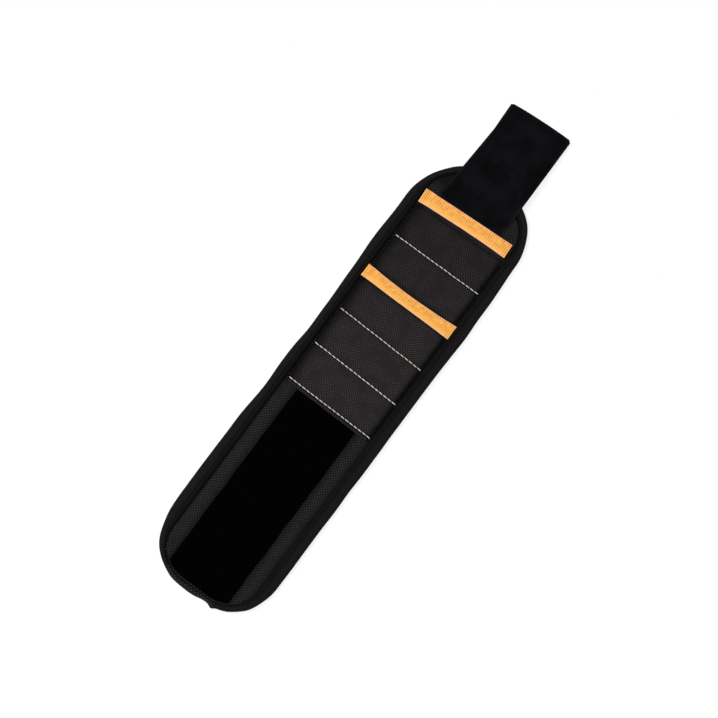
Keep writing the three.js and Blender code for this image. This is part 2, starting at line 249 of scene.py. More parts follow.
class Form:
    """Points, faces and flat places of one piece while it is being made."""

    def __init__(self):
        self.points = []
        self.lay = []
        self.painted_shading = []
        self.faces = []
        self.finish = []
        self.count = 0

    def add(self, points, lay, faces, finish=0, painted_shading=1.0):
        self.points.append(np.asarray(points, float).reshape(-1, 3))
        self.lay.append(np.asarray(lay, float).reshape(-1, 2))
        self.painted_shading.append(np.broadcast_to(np.asarray(painted_shading, float).ravel(), len(self.points[-1])))
        for group in faces:
            self.faces.extend((group + self.count).tolist())
            self.finish.extend([finish] * len(group))
        self.count += len(self.points[-1])

    def slab(self, top, bottom, lay, painted_shading=1.0):
        """A closed slab between two grids of points."""
        rows, columns = top.shape[:2]
        painted_shading = np.broadcast_to(painted_shading, (rows, columns))
        upper = np.arange(rows * columns).reshape(rows, columns)
        lower = upper + rows * columns
        faces = [
            quads(upper[:-1, :-1], upper[1:, :-1], upper[1:, 1:], upper[:-1, 1:]),
            quads(lower[:-1, :-1], lower[:-1, 1:], lower[1:, 1:], lower[1:, :-1]),
            quads(upper[:-1, 0], lower[:-1, 0], lower[1:, 0], upper[1:, 0]),
            quads(upper[:-1, -1], upper[1:, -1], lower[1:, -1], lower[:-1, -1]),
            quads(upper[0, :-1], upper[0, 1:], lower[0, 1:], lower[0, :-1]),
            quads(upper[-1, :-1], lower[-1, :-1], lower[-1, 1:], upper[-1, 1:]),
        ]
        points = np.concatenate([top, bottom])
        self.add(points, np.concatenate([lay, lay]), faces, painted_shading=np.concatenate([painted_shading, painted_shading]))

    def layer(self, x, y, top, bottom, painted_shading=1.0):
        """A slab between two levels, whose flat places are where it lies."""
        self.slab(join(x, y, top), join(x, y, bottom), join(x, y), painted_shading)

    def tubes(self, paths, across, radii, sides, finish=0):
        """One tube along each path. Each path lies in a plane, and across is that plane's normal."""
        count, steps = paths.shape[:2]
        tangent = unit(np.gradient(paths, axis=1))
        side = np.broadcast_to(across[:, None, :], tangent.shape)
        up = np.cross(side, tangent)
        turn = 2 * math.pi * np.arange(sides) / sides
        ring = np.cos(turn)[:, None] * side[:, :, None, :] + np.sin(turn)[:, None] * up[:, :, None, :]
        points = paths[:, :, None, :] + radii[None, :, None, None] * ring
        index = np.arange(count * steps * sides).reshape(count, steps, sides)
        following = np.roll(index, -1, axis=2)
        walls = quads(index[:, :-1], following[:, :-1], following[:, 1:], index[:, 1:])
        lay = join(run_along(paths, 1)[:, :, None], radii[None, :, None] * turn)
        self.add(points, lay, [walls, index[:, 0, ::-1], index[:, -1]], finish)

    def build(self, name, *finishes):
        """The mesh object, with its faces pointing out."""
        mesh = bpy.data.meshes.new(name)
        mesh.from_pydata(np.concatenate(self.points).tolist(), [], self.faces)
        mesh.polygons.foreach_set("material_index", self.finish)
        corner = np.zeros(len(mesh.loops), np.int32)
        mesh.loops.foreach_get("vertex_index", corner)
        places = np.concatenate(self.lay)[corner]
        mesh.uv_layers.new(name=LAY).uv.foreach_set("vector", places.astype(np.float32).ravel())
        painted_shading = mesh.attributes.new(PAINTED_SHADING, "FLOAT", "POINT")
        painted_shading.data.foreach_set("value", np.concatenate(self.painted_shading).astype(np.float32))
        for finish in finishes:
            mesh.materials.append(finish)
        shell = bmesh.new()
        shell.from_mesh(mesh)
        bmesh.ops.recalc_face_normals(shell, faces=shell.faces)
        shell.to_mesh(mesh)
        shell.free()
        mesh.shade_smooth()
        mesh.set_sharp_from_angle(angle=SHARP_ANGLE)
        return put(name, mesh)


def smooth(share):
    share = np.clip(share, 0, 1)
    return share * share * (3 - 2 * share)


def dip(far, reach, least):
    """A painted shade that is darkest on a line and fades to plain beyond its reach."""
    return least + (1 - least) * smooth(far / reach)


def rumple(x, y, size, seed):
    """Soft uneven waves from -1 to 1, about size across."""
    cells = 64
    heights = np.random.default_rng(seed).uniform(-1, 1, (cells, cells))
    u, v = np.broadcast_arrays(np.asarray(x) / size, np.asarray(y) / size)
    i, j = np.floor(u).astype(int), np.floor(v).astype(int)
    fu, fv = smooth(u - i), smooth(v - j)
    near = heights[i % cells, j % cells] * (1 - fu) + heights[(i + 1) % cells, j % cells] * fu
    far = heights[i % cells, (j + 1) % cells] * (1 - fu) + heights[(i + 1) % cells, (j + 1) % cells] * fu
    return near * (1 - fv) + far * fv


def spaced(start, end, step, *marks):
    """Places from start to end about step apart, with the marks among them."""
    stops = sorted({start, end, *[m for m in marks if start < m < end]})
    places = [start]
    for a, b in zip(stops, stops[1:]):
        places.extend(np.linspace(a, b, max(2, math.ceil((b - a) / step) + 1))[1:])
    return np.array(places)


# A stitch from end to end: how far along it is, how high over its line and how thick
STITCH_RUN = np.array([0, 0.1, 0.3, 0.5, 0.7, 0.9, 1])
STITCH_RISE = np.array([-1.3, -0.1, 0.75, 1, 0.75, -0.1, -1.3])
STITCH_GIRTH = np.array([0.55, 0.8, 1, 1, 1, 0.8, 0.55])
STITCH_LIFT = 0.35  # of the thread's thickness


def sew(form, starts, ends, thickness, finish, sides=8, facing=1):
    """Stitches that dive into the cloth at both ends, and bulge up from it, or down where facing is -1."""
    run = ends - starts
    paths = starts[:, None, :] + run[:, None, :] * STITCH_RUN[None, :, None]
    paths[:, :, 2] += facing * thickness * STITCH_LIFT * STITCH_RISE
    across = unit(join(-run[:, 1], run[:, 0], 0.0))
    form.tubes(paths, across, thickness / 2 * STITCH_GIRTH, sides, finish)


def fold_with(piece, index, slot, *nodes):
    """Hides the nodes that the piece stands for, and bakes the piece's place into its points."""
    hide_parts(*nodes)
    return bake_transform(piece)


def stretches_of(index):
    """The stretch that a piece of the band stands for, and at the last fold the crown too."""
    return STRETCHES[index:] if index == ROW_1_FOLD else STRETCHES[index : index + 1]


# Finishes
def feed(tree, socket, value):
    """Join a socket to another node, or set it to a number or a colour."""
    if isinstance(value, bpy.types.NodeSocket):
        tree.links.new(value, socket)
    elif np.isscalar(value):
        socket.default_value = value
    else:
        socket.default_value = (*value, 1)


def calc(tree, operation, *values, clamp=False):
    node = tree.nodes.new("ShaderNodeMath")
    node.operation = operation
    node.use_clamp = clamp
    for socket, value in zip(node.inputs, values):
        feed(tree, socket, value)
    return node.outputs[0]


def scaled(shade, amount, warmth=0.0):
    """A shade made lighter or darker, and warmer or cooler."""
    red, green, blue = shade
    return [min(1, channel * amount) for channel in (red * (1 + warmth), green, blue * (1 - warmth))]


class Finish:
    """A material while its nodes are being joined."""

    def __init__(self, name, roughness, specular):
        self.material = bpy.data.materials.new(name)
        self.material.use_nodes = True
        self.tree = self.material.node_tree
        self.shader = self.tree.nodes["Principled BSDF"]
        self.shader.inputs["Roughness"].default_value = roughness
        self.shader.inputs["Specular IOR Level"].default_value = specular

    def times(self, first, second, clamp=False):
        return calc(self.tree, "MULTIPLY", first, second, clamp=clamp)

    def line(self, value, slope, start, clamp=False):
        """A value on a straight line: slope times the value, added to start."""
        return calc(self.tree, "MULTIPLY_ADD", value, slope, start, clamp=clamp)

    def magnitude(self, value):
        return calc(self.tree, "ABSOLUTE", value)

    def power(self, value, exponent):
        return calc(self.tree, "POWER", value, exponent)

    def rest_of(self, value):
        """What a share leaves of one."""
        return calc(self.tree, "SUBTRACT", 1.0, value)

    def wave(self, place, pitch):
        """A sine with one half wave to each pitch."""
        return calc(self.tree, "SINE", self.times(place, math.pi / pitch))

    def mottle(self, places, size, detail=3):
        node = self.tree.nodes.new("ShaderNodeTexNoise")
        node.noise_dimensions = "2D"
        node.inputs["Scale"].default_value = 1 / size
        node.inputs["Detail"].default_value = detail
        self.tree.links.new(places, node.inputs["Vector"])
        return node.outputs["Fac"]

    def mixed(self, share, first, second):
        node = self.tree.nodes.new("ShaderNodeMix")
        node.data_type = "RGBA"
        self.tree.links.new(share, node.inputs["Factor"])
        feed(self.tree, node.inputs[6], first)
        feed(self.tree, node.inputs[7], second)
        return node.outputs[2]


class Cloth(Finish):
    """A finish that follows the flat cut: along it, across it, and both as a vector of places."""

    def __init__(self, name, roughness, specular):
        super().__init__(name, roughness, specular)
        lay = self.tree.nodes.new("ShaderNodeUVMap")
        lay.uv_map = LAY
        split = self.tree.nodes.new("ShaderNodeSeparateXYZ")
        self.tree.links.new(lay.outputs[0], split.inputs[0])
        self.along = split.outputs["X"]
        self.across = split.outputs["Y"]
        self.places = lay.outputs[0]

    def patches(self, size, slope, start, detail=3):
        """A share that comes and goes in patches about size across."""
        return self.line(self.mottle(self.places, size, detail), slope, start, clamp=True)

    def ribs(self, pitch, yarn_pitch):
        """The height of a ribbed tape: ribs across it, and lower yarns along it."""
        rib = self.magnitude(self.wave(self.along, pitch))
        yarn = self.magnitude(self.wave(self.across, yarn_pitch))
        return self.line(yarn, 0.35, self.times(rib, 0.65))

    def paint(self, shade):
        """The surface's colour, times the painted shading of its place: painted shade below one, painted
        highlight above.
        """
        painted_shading = self.tree.nodes.new("ShaderNodeAttribute")
        painted_shading.attribute_name = PAINTED_SHADING
        node = self.tree.nodes.new("ShaderNodeVectorMath")
        node.operation = "SCALE"
        self.tree.links.new(shade, node.inputs[0])
        self.tree.links.new(painted_shading.outputs["Fac"], node.inputs["Scale"])
        self.tree.links.new(node.outputs[0], self.shader.inputs["Base Color"])

    def shade_by(self, share, shade, least, most):
        """The colour runs from the least to the most of its shade."""
        self.paint(self.mixed(share, scaled(shade, least), scaled(shade, most)))

    def relief(self, height, depth, strength):
        node = self.tree.nodes.new("ShaderNodeBump")
        node.inputs["Distance"].default_value = depth
        node.inputs["Strength"].default_value = strength
        self.tree.links.new(height, node.inputs["Height"])
        self.tree.links.new(node.outputs["Normal"], self.shader.inputs["Normal"])


YARN_SHARE = 0.2  # how much the raised yarns of a basket weave count where it blurs into one tone
COOL, WARM = -0.04, 0.05  # the two tinges that a black cloth wavers between


def basket_cloth(name, shade, pitch, gaps, yarns, crispness):
    """Plain basket weave with its gaps and its raised yarns lighter or darker than the shade."""
    cloth = Cloth(name, roughness=0.85, specular=0.06)
    warp, weft = cloth.wave(cloth.across, pitch), cloth.wave(cloth.along, pitch)
    rounded = cloth.times(cloth.magnitude(warp), cloth.magnitude(weft))
    over = cloth.line(cloth.times(warp, weft), slope=3.0, start=0.5, clamp=True)
    yarn = cloth.times(rounded, cloth.line(over, slope=0.7, start=0.3))
    tinge = cloth.patches(9 * MM, slope=2.0, start=-0.5, detail=1)
    crisp = cloth.patches(10 * MM, slope=6.0, start=crispness - 3)
    plain = gaps + (yarns - gaps) * YARN_SHARE
    looks = []
    for warmth in (COOL, WARM):
        woven = cloth.mixed(yarn, scaled(shade, gaps, warmth), scaled(shade, yarns, warmth))
        looks.append(cloth.mixed(crisp, scaled(shade, plain, warmth), woven))
    cloth.paint(cloth.mixed(tinge, *looks))
    cloth.relief(cloth.line(rounded, 0.6, cloth.times(over, 0.4)), depth=0.25 * MM, strength=0.8)
    cloth.shader.inputs["Sheen Weight"].default_value = 0.02
    return cloth.material


def ribbed_cloth(name, shade, pitch, specular, lit, crispness):
    """Woven tape with fine ribs across its length."""
    cloth = Cloth(name, roughness=0.8, specular=specular)
    height = cloth.ribs(pitch, pitch * 0.7)
    crisp = cloth.patches(13 * MM, slope=4.0, start=crispness - 2)
    woven = cloth.mixed(cloth.power(height, 1.6), scaled(shade, 0.1), scaled(shade, lit))
    blotch = cloth.patches(8 * MM, slope=2.0, start=-0.5)
    plain = cloth.mixed(blotch, scaled(shade, 0.7, warmth=0.08), scaled(shade, 1.25))
    cloth.paint(cloth.mixed(crisp, plain, woven))
    cloth.relief(height, depth=0.15 * MM, strength=0.8)
    return cloth.material


def elastic_cloth(name, shade, edge_shade, valley, pitch):
    """Bright elastic: pale edges, and ribs that show best towards its upper edge."""
    cloth = Cloth(name, roughness=0.75, specular=0.15)
    height = cloth.ribs(pitch, pitch * 0.85)
    upper = cloth.line(cloth.across, slope=0.4 / MM, start=1.2, clamp=True)
    shown = cloth.line(upper, slope=0.75, start=0.25)
    patchy = cloth.line(cloth.mottle(cloth.places, 3 * MM), slope=3.4, start=-0.7)
    gap = cloth.power(cloth.rest_of(height), 1.4)
    depth = cloth.times(cloth.times(gap, shown), patchy, clamp=True)
    at_edge = cloth.line(cloth.magnitude(cloth.across), slope=0.5 / MM, start=-1.4, clamp=True)
    cloth.paint(cloth.mixed(depth, cloth.mixed(at_edge, shade, edge_shade), valley))
    cloth.relief(height, depth=0.15 * MM, strength=0.6)
    return cloth.material


def pile_cloth(name, shade):
    """Deep black looped pile, which gives back almost no light."""
    cloth = Cloth(name, roughness=1.0, specular=0.0)
    patchy = cloth.mottle(cloth.places, 2 * MM, detail=6)
    cloth.shade_by(patchy, shade, least=0.3, most=1.6)
    cloth.relief(patchy, depth=0.3 * MM, strength=0.8)
    return cloth.material


def spacer_mesh(name, shade, pitch):
    """Knitted spacer mesh with staggered holes."""
    cloth = Cloth(name, roughness=0.9, specular=0.08)
    product = cloth.times(cloth.wave(cloth.along, pitch), cloth.wave(cloth.across, pitch))
    hole = cloth.line(product, slope=3.0, start=-0.6, clamp=True)
    knit = cloth.mottle(cloth.places, 0.7 * MM, detail=2)
    solid = cloth.rest_of(hole)
    level = cloth.times(solid, calc(cloth.tree, "ADD", knit, 0.3), clamp=True)
    cloth.shade_by(level, shade, least=0.25, most=1.5)
    cloth.relief(solid, depth=0.5 * MM, strength=0.9)
    return cloth.material


def sewing_thread(name, shade, twist, specular=0.2):
    """Two-ply thread with its twist."""
    thread = Cloth(name, roughness=0.6, specular=specular)
    slant = thread.line(thread.across, slope=0.8, start=thread.along)
    ply = thread.magnitude(thread.wave(slant, twist))
    fuzz = thread.times(thread.mottle(thread.places, 3 * MM), 0.4)
    thread.shade_by(thread.line(ply, slope=0.7, start=fuzz, clamp=True), shade, least=0.7, most=1.05)
    thread.relief(ply, depth=0.08 * MM, strength=0.6)
    return thread.material


def moulded_hooks(name, shade):
    """Nylon with the slight unevenness of small mouldings."""
    nylon = Cloth(name, roughness=0.45, specular=0.3)
    patchy = nylon.mottle(nylon.places, 1.2 * MM, detail=4)
    nylon.shade_by(patchy, shade, least=0.6, most=1.5)
    nylon.relief(patchy, depth=0.05 * MM, strength=0.5)
    return nylon.material


def nickel_plate(name, shade):
    """Brushed nickel plating of the bar magnets."""
    plate = Finish(name, roughness=0.28, specular=0.5)
    plate.shader.inputs["Metallic"].default_value = 1
    place = plate.tree.nodes.new("ShaderNodeTexCoord")
    brushed = plate.mottle(place.outputs["Object"], 0.6 * MM, detail=5)
    worn = plate.line(brushed, slope=0.3, start=0.15)
    feed(plate.tree, plate.shader.inputs["Base Color"], plate.mixed(brushed, scaled(shade, 0.75), shade))
    feed(plate.tree, plate.shader.inputs["Roughness"], worn)
    return plate.material


# Outlines of the band
def rounding(run, radius):
    """How far out a round corner of this radius has come, at this run from its tip."""
    return np.sqrt(radius**2 - (radius - np.clip(run, 0, radius)) ** 2)


def half_at(x, inset):
    """Half the width of the band's rounded outline at x, drawn in all round by inset."""
    radius = sizes().end_radius - inset
    tip_run = np.minimum(x - TOE_TIP, CROWN_TIP - x) - inset
    return HALF_WIDTH - inset - radius + rounding(tip_run, radius)


def core_of(points, start, end, half_width, radius):
    """The nearest points of the inner core of a rounded rectangle that runs from start to end."""
    x = np.clip(points[:, 0], start + radius, end - radius)
    y = np.clip(points[:, 1], radius - half_width, half_width - radius)
    return join(x, y)


def window_edge(points):
    """The nearest points of the binding's inner edge."""
    radius = sizes().window_radius
    start, end = TOE_TIP + sizes().toe_cover, CROWN_TIP - sizes().crown_cover
    core = core_of(points, start, end, WINDOW_HALF, radius)
    return core + radius * unit(points - core)


# Outer cloth and padded lining
LAYER_INSET = 3 * MM
LAYER_STEP = 2.2 * MM
LAYER_COLUMNS = 61
ROUND_STATIONS = 22
CLOTH_SWELL = 0.4 * MM
SWELL_FADE = 6 * MM
SWELL_WAVES = 0.5
RIGHT_SHADE, LEFT_SHADE = 3.5 * MM, 1.2 * MM  # reach of the painted shade beside the binding, on either side
SIDE_FADE = 5 * MM  # from the band's middle line to where the painted shade on its left side is full
# Reach of the painted shade beside the loop tape, and the painted shade left of the strap at the crown: how
# dark, where it starts, how far it fades in
LOOP_SHADE = 5 * MM
CROWN_SHADE = 0.65
CROWN_SHADE_START, CROWN_SHADE_FADE = 3 * MM, 10 * MM
PAD_SLOPE = 7 * MM
PAD_WAVES = 0.1


def layer_stations(index):
    """Places along one piece of a layer, closer together where an end rounds off."""
    radius = sizes().end_radius - LAYER_INSET
    start = TOE_TIP + LAYER_INSET if index == 0 else CUTS[index]
    end = CROWN_TIP - LAYER_INSET if index == ROW_1_FOLD else CUTS[index + 1]
    round_run = radius * (1 - np.cos(np.linspace(0, math.pi / 2, ROUND_STATIONS)))
    if index == 0:
        return np.concatenate([start + round_run[:-1], spaced(start + radius, end, LAYER_STEP)])
    if index == ROW_1_FOLD:
        return np.concatenate([spaced(start, end - radius, LAYER_STEP), end - round_run[-2::-1]])
    return spaced(start, end, LAYER_STEP)


def layer_grid(index):
    x = layer_stations(index)[:, None]
    return x, half_at(x, LAYER_INSET) * np.linspace(-1, 1, LAYER_COLUMNS)


def cloth_swell(x, y):
    """How far the cloth swells up between the loop tape and the binding."""
    margin = np.clip((np.abs(y) - LOOP_HALF) / (WINDOW_HALF - LOOP_HALF), 0, 1)
    open_face = smooth((PANEL_START - x) / SWELL_FADE)
    uneven = 1 + SWELL_WAVES * rumple(x, y, size=11 * MM, seed=3)
    return CLOTH_SWELL * np.sin(math.pi * margin) * open_face * uneven


def cloth_painted_shade(x, y):
    """Painted shade beside the binding, beside the loop tape, and on the left of the strap at the crown."""
    left = smooth(y / SIDE_FADE)
    by_binding = dip(WINDOW_HALF - np.abs(y), RIGHT_SHADE + (LEFT_SHADE - RIGHT_SHADE) * left, least=0.5)
    by_loop = dip(np.clip(np.abs(y) - LOOP_HALF, 0, None), LOOP_SHADE, least=0.5)
    past_panel = smooth((x - PANEL_END - CROWN_SHADE_START) / CROWN_SHADE_FADE)
    crown = 1 - CROWN_SHADE * left * past_panel
    return np.where(x > PANEL_END, crown, by_binding * by_loop)


class WRISTBAND_OT_outer_cloth(bpy.types.Operator):
    """Lay the woven outer cloth over the band"""

    bl_idname = "wristband.outer_cloth"
    bl_label = "Outer Cloth"

    def execute(self, context):
        shade, pitch = colours().cloth, sizes().cloth_pitch
        weave = basket_cloth("outer_cloth_weave", shade, pitch, gaps=0.1, yarns=7.2, crispness=1.3)
        # At the crown the cloth has a fainter, less crisp weave
        faint_weave = basket_cloth("crown_cloth_weave", shade, pitch, gaps=0.7, yarns=5.0, crispness=0.4)
        for index in range(len(FOLDS)):
            x, y = layer_grid(index)
            form = Form()
            form.layer(x, y, FACE + cloth_swell(x, y), CLOTH_BOTTOM, cloth_painted_shade(x, y))
            finish = faint_weave if index == ROW_1_FOLD else weave
            piece = form.build(f"outer_cloth_{index + 1}", finish)
            fold_with(piece, index, "cloth", *[f"cloth_{name}" for name in stretches_of(index)])
        return {"FINISHED"}


class WRISTBAND_OT_padded_lining(bpy.types.Operator):
    """Pad the back of the band with spacer mesh"""

    bl_idname = "wristband.padded_lining"
    bl_label = "Padded Lining"

    def execute(self, context):
        finish = spacer_mesh("padded_lining_mesh", colours().lining, sizes().mesh_pitch)
        for index in range(len(FOLDS)):
            x, y = layer_grid(index)
            side_run = half_at(x, 0) - np.abs(y) - (HALF_WIDTH - WINDOW_HALF)
            end_run = np.minimum(x - TOE_TIP - sizes().toe_cover, CROWN_TIP - sizes().crown_cover - x)
            pad = smooth(np.minimum(side_run, end_run) / PAD_SLOPE)
            soft = pad * (1 - PAD_WAVES + PAD_WAVES * rumple(x, y, size=9 * MM, seed=5))
            form = Form()
            form.layer(x, y, CLOTH_BOTTOM, LINING_BOTTOM - soft * (LINING_BOTTOM - TABLE))
            piece = form.build(f"padded_lining_{index + 1}", finish)
            fold_with(piece, index, "lining", *[f"lining_{name}" for name in stretches_of(index)])
        return {"FINISHED"}


# Edge binding
RIM_STEP = 1.4 * MM
RIM_WAVER = 0.25 * MM
NOSE = (BINDING_TOP - TABLE) / 2  # radius of the binding's fold round the rim
FACE_ROWS = 13
NOSE_ROWS = 11
FACE_SWELL = 0.22 * MM
BINDING_STITCH_INSET = 3.3 * MM
NARROW_INSET_SHARE = 0.6
STITCH_GROOVE = 0.3 * MM
GROOVE_SPREAD = 0.8 * MM
EDGE_DIP = 0.4 * MM
EDGE_DIP_WIDTH = 2.2 * MM
BINDING_GATHER = 0.12 * MM
GATHER_LENGTH = 4.6 * MM
GATHER_COVER, GATHER_FADE = 9.2 * MM, 3 * MM  # the binding gathers where it covers less than this
# Painted shade: the dark line beside the binding's inner edge, where it starts and how wide; the dark line
# beside its stitches; and the stretch towards the crown where the inner line is darker
EDGE_LINE, EDGE_LINE_WIDTH = 0.6 * MM, 1.8 * MM
STITCH_LINE_WIDTH = 1.2 * MM
CROWN_DARK_RUN, CROWN_DARK_FADE = 45 * MM, 20 * MM
# Painted highlight along the toe's inner edge: how much lighter, how wide, and its run and fade along the
# toe
TOE_HIGHLIGHT = 1.6
TOE_HIGHLIGHT_WIDTH = 0.4 * MM
TOE_HIGHLIGHT_RUN, TOE_HIGHLIGHT_FADE = 8 * MM, 4 * MM
TOE_PATCH_LEFT, TOE_PATCH_RIGHT = 23 * MM, -17 * MM
TOE_PATCH_DEPTH = 6 * MM
BLACK_THREAD_SHINE = 0.03
BLACK_TWIST = 0.5 * MM
STITCH_LEAD, STITCH_SHOWN = 0.3, 0.72  # of a stitch: the gap before the first one, and what shows of each
FACE_STITCH_DEPTH = 0.28 * MM
FACE_THREAD, BACK_THREAD = 0.5 * MM, 0.3 * MM
# Uneven spots of the sewn rim: place from the toe and across the band, spread, and how far each stands out
RIM_SPOTS = (
    (26, 44, 12, -1.5),
    (140, 45, 18, -1.5),
    (188, 45, 14, -1),
    (212, 45, 42, -2),
    (287, 45, 16, -1),
    (314, 44, 12, -2),
    (329, 36, 12, -2),
    (303, -45, 20, -1.5),
    (322, -41, 12, -1),
    (245, -45, 12, 0.5),
    (15, -35, 8, 1),
    (5, -26, 8, 1),
    (0, -17, 2.2, 2),
    (0, -10, 5, -1),
    (0, 3, 9, 0.5),
    (1, 16, 6, 0.5),
)


def end_rim(tip, cut, facing):
    """The rim round one end of the band, from its left side to its right side."""
    radius = sizes().end_radius
    centre, corner = tip + facing * radius, HALF_WIDTH - radius
    turn = np.linspace(0, math.pi / 2, math.ceil(radius * math.pi / 2 / RIM_STEP) + 1)
    left = join(cut - facing * spaced(0, abs(cut - centre), RIM_STEP), HALF_WIDTH)
    arc = join(centre - facing * radius * np.sin(turn), corner + radius * np.cos(turn))
    end = join(tip, spaced(-corner, corner, RIM_STEP)[::-1])
    mirror = np.array([1, -1])
    runs = [left[:-1], arc[:-1], end[:-1], arc[::-1][:-1] * mirror, left[::-1] * mirror]
    return np.concatenate(runs)


def rim_runs(index):
    if index == 0:
        return [end_rim(TOE_TIP, CUTS[1], 1)]
    if index == ROW_1_FOLD:
        return [end_rim(CROWN_TIP, CUTS[index], -1)]
    x = spaced(CUTS[index], CUTS[index + 1], RIM_STEP)
    return [join(x, side * HALF_WIDTH) for side in (1, -1)]


def worn_rim(rim):
    """The rim with its uneven spots and a slight waver."""
    outward = unit(rim - core_of(rim, TOE_TIP, CROWN_TIP, HALF_WIDTH, sizes().end_radius))
    shift = RIM_WAVER * rumple(rim[:, 0], rim[:, 1], size=16 * MM, seed=8)
    for from_toe, across, spread, stand in RIM_SPOTS:
        far = np.hypot(rim[:, 0] - TOE_TIP - from_toe * MM, rim[:, 1] - across * MM)
        shift += stand * MM * np.exp(-((far / (spread * MM)) ** 2))
    return rim + shift[:, None] * outward


def stitch_inset(cover):
    """How far from the binding's inner edge its stitches run: less where the binding is narrow."""
    return np.minimum(BINDING_STITCH_INSET, NARROW_INSET_SHARE * (cover - NOSE))


def binding_painted_shading(rim, share, from_edge, from_stitches):
    """Painted shade: dark lines by the inner edge and the stitches, and the inner part darker than the
    nose; and a painted highlight along the toe's inner edge.
    """
    leftward = (1 + rim[:, 1:] / HALF_WIDTH) / 2
    at_crown = smooth((rim[:, :1] - CROWN_TIP + CROWN_DARK_RUN) / CROWN_DARK_FADE)
    at_toe = smooth((TOE_TIP + TOE_HIGHLIGHT_RUN - rim[:, :1]) / TOE_HIGHLIGHT_FADE)
    # Painted shade by the inner edge and the stitches, darker on the left and towards the crown, and the
    # inner face darker than the nose
    edge_least = 0.6 - 0.48 * np.maximum(leftward, at_crown)
    by_edge = dip(np.clip(from_edge - EDGE_LINE, 0, None), EDGE_LINE_WIDTH, edge_least)
    by_stitches = dip(from_stitches, STITCH_LINE_WIDTH, 0.85 - 0.25 * leftward)
    to_nose = 0.68 + 0.32 * smooth((0.6 - share) / 0.5)
    # Painted highlight along the toe's inner edge
    return by_edge * by_stitches * to_nose + at_toe * TOE_HIGHLIGHT * (from_edge < TOE_HIGHLIGHT_WIDTH)


def binding_skin(rim, edge, run):
    """Points over the binding's outside and inside, from the face round to the back, and their painted
    shading.
    """
    cover = np.linalg.norm(edge - rim, axis=1, keepdims=True)
    inward = (edge - rim) / cover
    thickness = BINDING_TOP - FACE
    share = np.linspace(1, 0, FACE_ROWS)
    turn = np.linspace(math.pi / 2, -math.pi / 2, NOSE_ROWS)[1:-1]
    from_edge = (1 - share) * (cover - NOSE)
    from_stitches = np.abs(from_edge - stitch_inset(cover))
    groove = STITCH_GROOVE * np.exp(-((from_stitches / GROOVE_SPREAD) ** 2))
    edge_dip = EDGE_DIP * (1 - smooth(from_edge / EDGE_DIP_WIDTH))
    phase = 2 * math.pi * run / GATHER_LENGTH + 2 * rumple(run, 0, size=9 * MM, seed=6)
    gather = BINDING_GATHER * np.sin(phase)[:, None] * smooth((GATHER_COVER - cover) / GATHER_FADE)
    swell = FACE_SWELL * np.sin(math.pi * share) + gather * share**1.5
    flat_depth = NOSE + share * (cover - NOSE)
    rounded = np.ones_like(cover)
    faces = []
    for gap, face, back in (
        (0, BINDING_TOP + swell - groove - edge_dip, TABLE + groove[:, ::-1]),
        (thickness, np.full_like(groove, FACE), np.full_like(groove, TABLE + thickness)),
    ):
        depth = [flat_depth, (NOSE - (NOSE - gap) * np.cos(turn)) * rounded, flat_depth[:, ::-1]]
        level = [face, (TABLE + NOSE + (NOSE - gap) * np.sin(turn)) * rounded, back]
        flat = rim[:, None, :] + np.concatenate(depth, axis=1)[:, :, None] * inward[:, None, :]
        faces.append(join(flat[:, :, 0], flat[:, :, 1], np.concatenate(level, axis=1)))
    below = np.ones((len(rim), len(turn) + len(share)))
    painted_shading = binding_painted_shading(rim, share, from_edge, from_stitches)
    return (*faces, np.concatenate([painted_shading, below], axis=1))


def binding_stitches(form, rim, edge, run):
    """Stitches that hold the binding's edge, in a groove on the face and on the back."""
    cover = np.linalg.norm(edge - rim, axis=1, keepdims=True)
    line = edge - (edge - rim) / cover * stitch_inset(cover)
    pitch = sizes().binding_stitch
    starts = np.arange(pitch * STITCH_LEAD, run[-1] - pitch * (1 - STITCH_LEAD), pitch)
    for level, thickness, facing in (
        (BINDING_TOP - FACE_STITCH_DEPTH, FACE_THREAD, 1),
        (TABLE + STITCH_GROOVE, BACK_THREAD, -1),
    ):
        ends = []
        for place in (starts, starts + pitch * STITCH_SHOWN):
            ends.append(join(*[np.interp(place, run, line[:, axis]) for axis in (0, 1)], level))
        sew(form, *ends, thickness, 1, sides=6, facing=facing)


def patch_toe(binding, finish):
    """A short patch of basket weave on the toe's edge."""
    slots = binding.data.materials
    slots.append(finish)
    for face in binding.data.polygons:
        on_toe = face.center.x < TOE_TIP + TOE_PATCH_DEPTH
        on_patch = on_toe and TOE_PATCH_RIGHT < face.center.y < TOE_PATCH_LEFT
        if on_patch and face.material_index == 0:
            face.material_index = len(slots) - 1


class WRISTBAND_OT_edge_binding(bpy.types.Operator):
    """Bind the band's edge all round"""

    bl_idname = "wristband.edge_binding"
    bl_label = "Edge Binding"

    def execute(self, context):
        shade, rib = colours().binding, sizes().binding_rib
        finish = ribbed_cloth("edge_binding_ribs", shade, rib, specular=0.05, lit=2.1, crispness=0.6)
        patch = basket_cloth("toe_patch_weave", shade, rib, gaps=0.0, yarns=8.0, crispness=3.0)
        thread = sewing_thread("black_thread", colours().black_thread, BLACK_TWIST, BLACK_THREAD_SHINE)
        for index in range(len(FOLDS)):
            form = Form()
            for plain_rim in rim_runs(index):
                rim, edge = worn_rim(plain_rim), window_edge(plain_rim)
                run = run_along(rim, 0)
                outside, inside, painted_shading = binding_skin(rim, edge, run)
                form.slab(outside, inside, join(run[:, None], run_along(outside, 1)), painted_shading)
                binding_stitches(form, rim, edge, run)
            piece = form.build(f"edge_binding_{index + 1}", finish, thread)
            if index == 0:
                patch_toe(piece, patch)
            ends = [f"binding_{name}" for name in stretches_of(index) if name in ("toe", "crown")]
            middle = [name for name in stretches_of(index) if name not in ("toe", "crown")]
            sides = [f"binding_{side}_{name}" for name in middle for side in ("left", "right")]
            fold_with(piece, index, "binding", *ends, *sides)
        return {"FINISHED"}


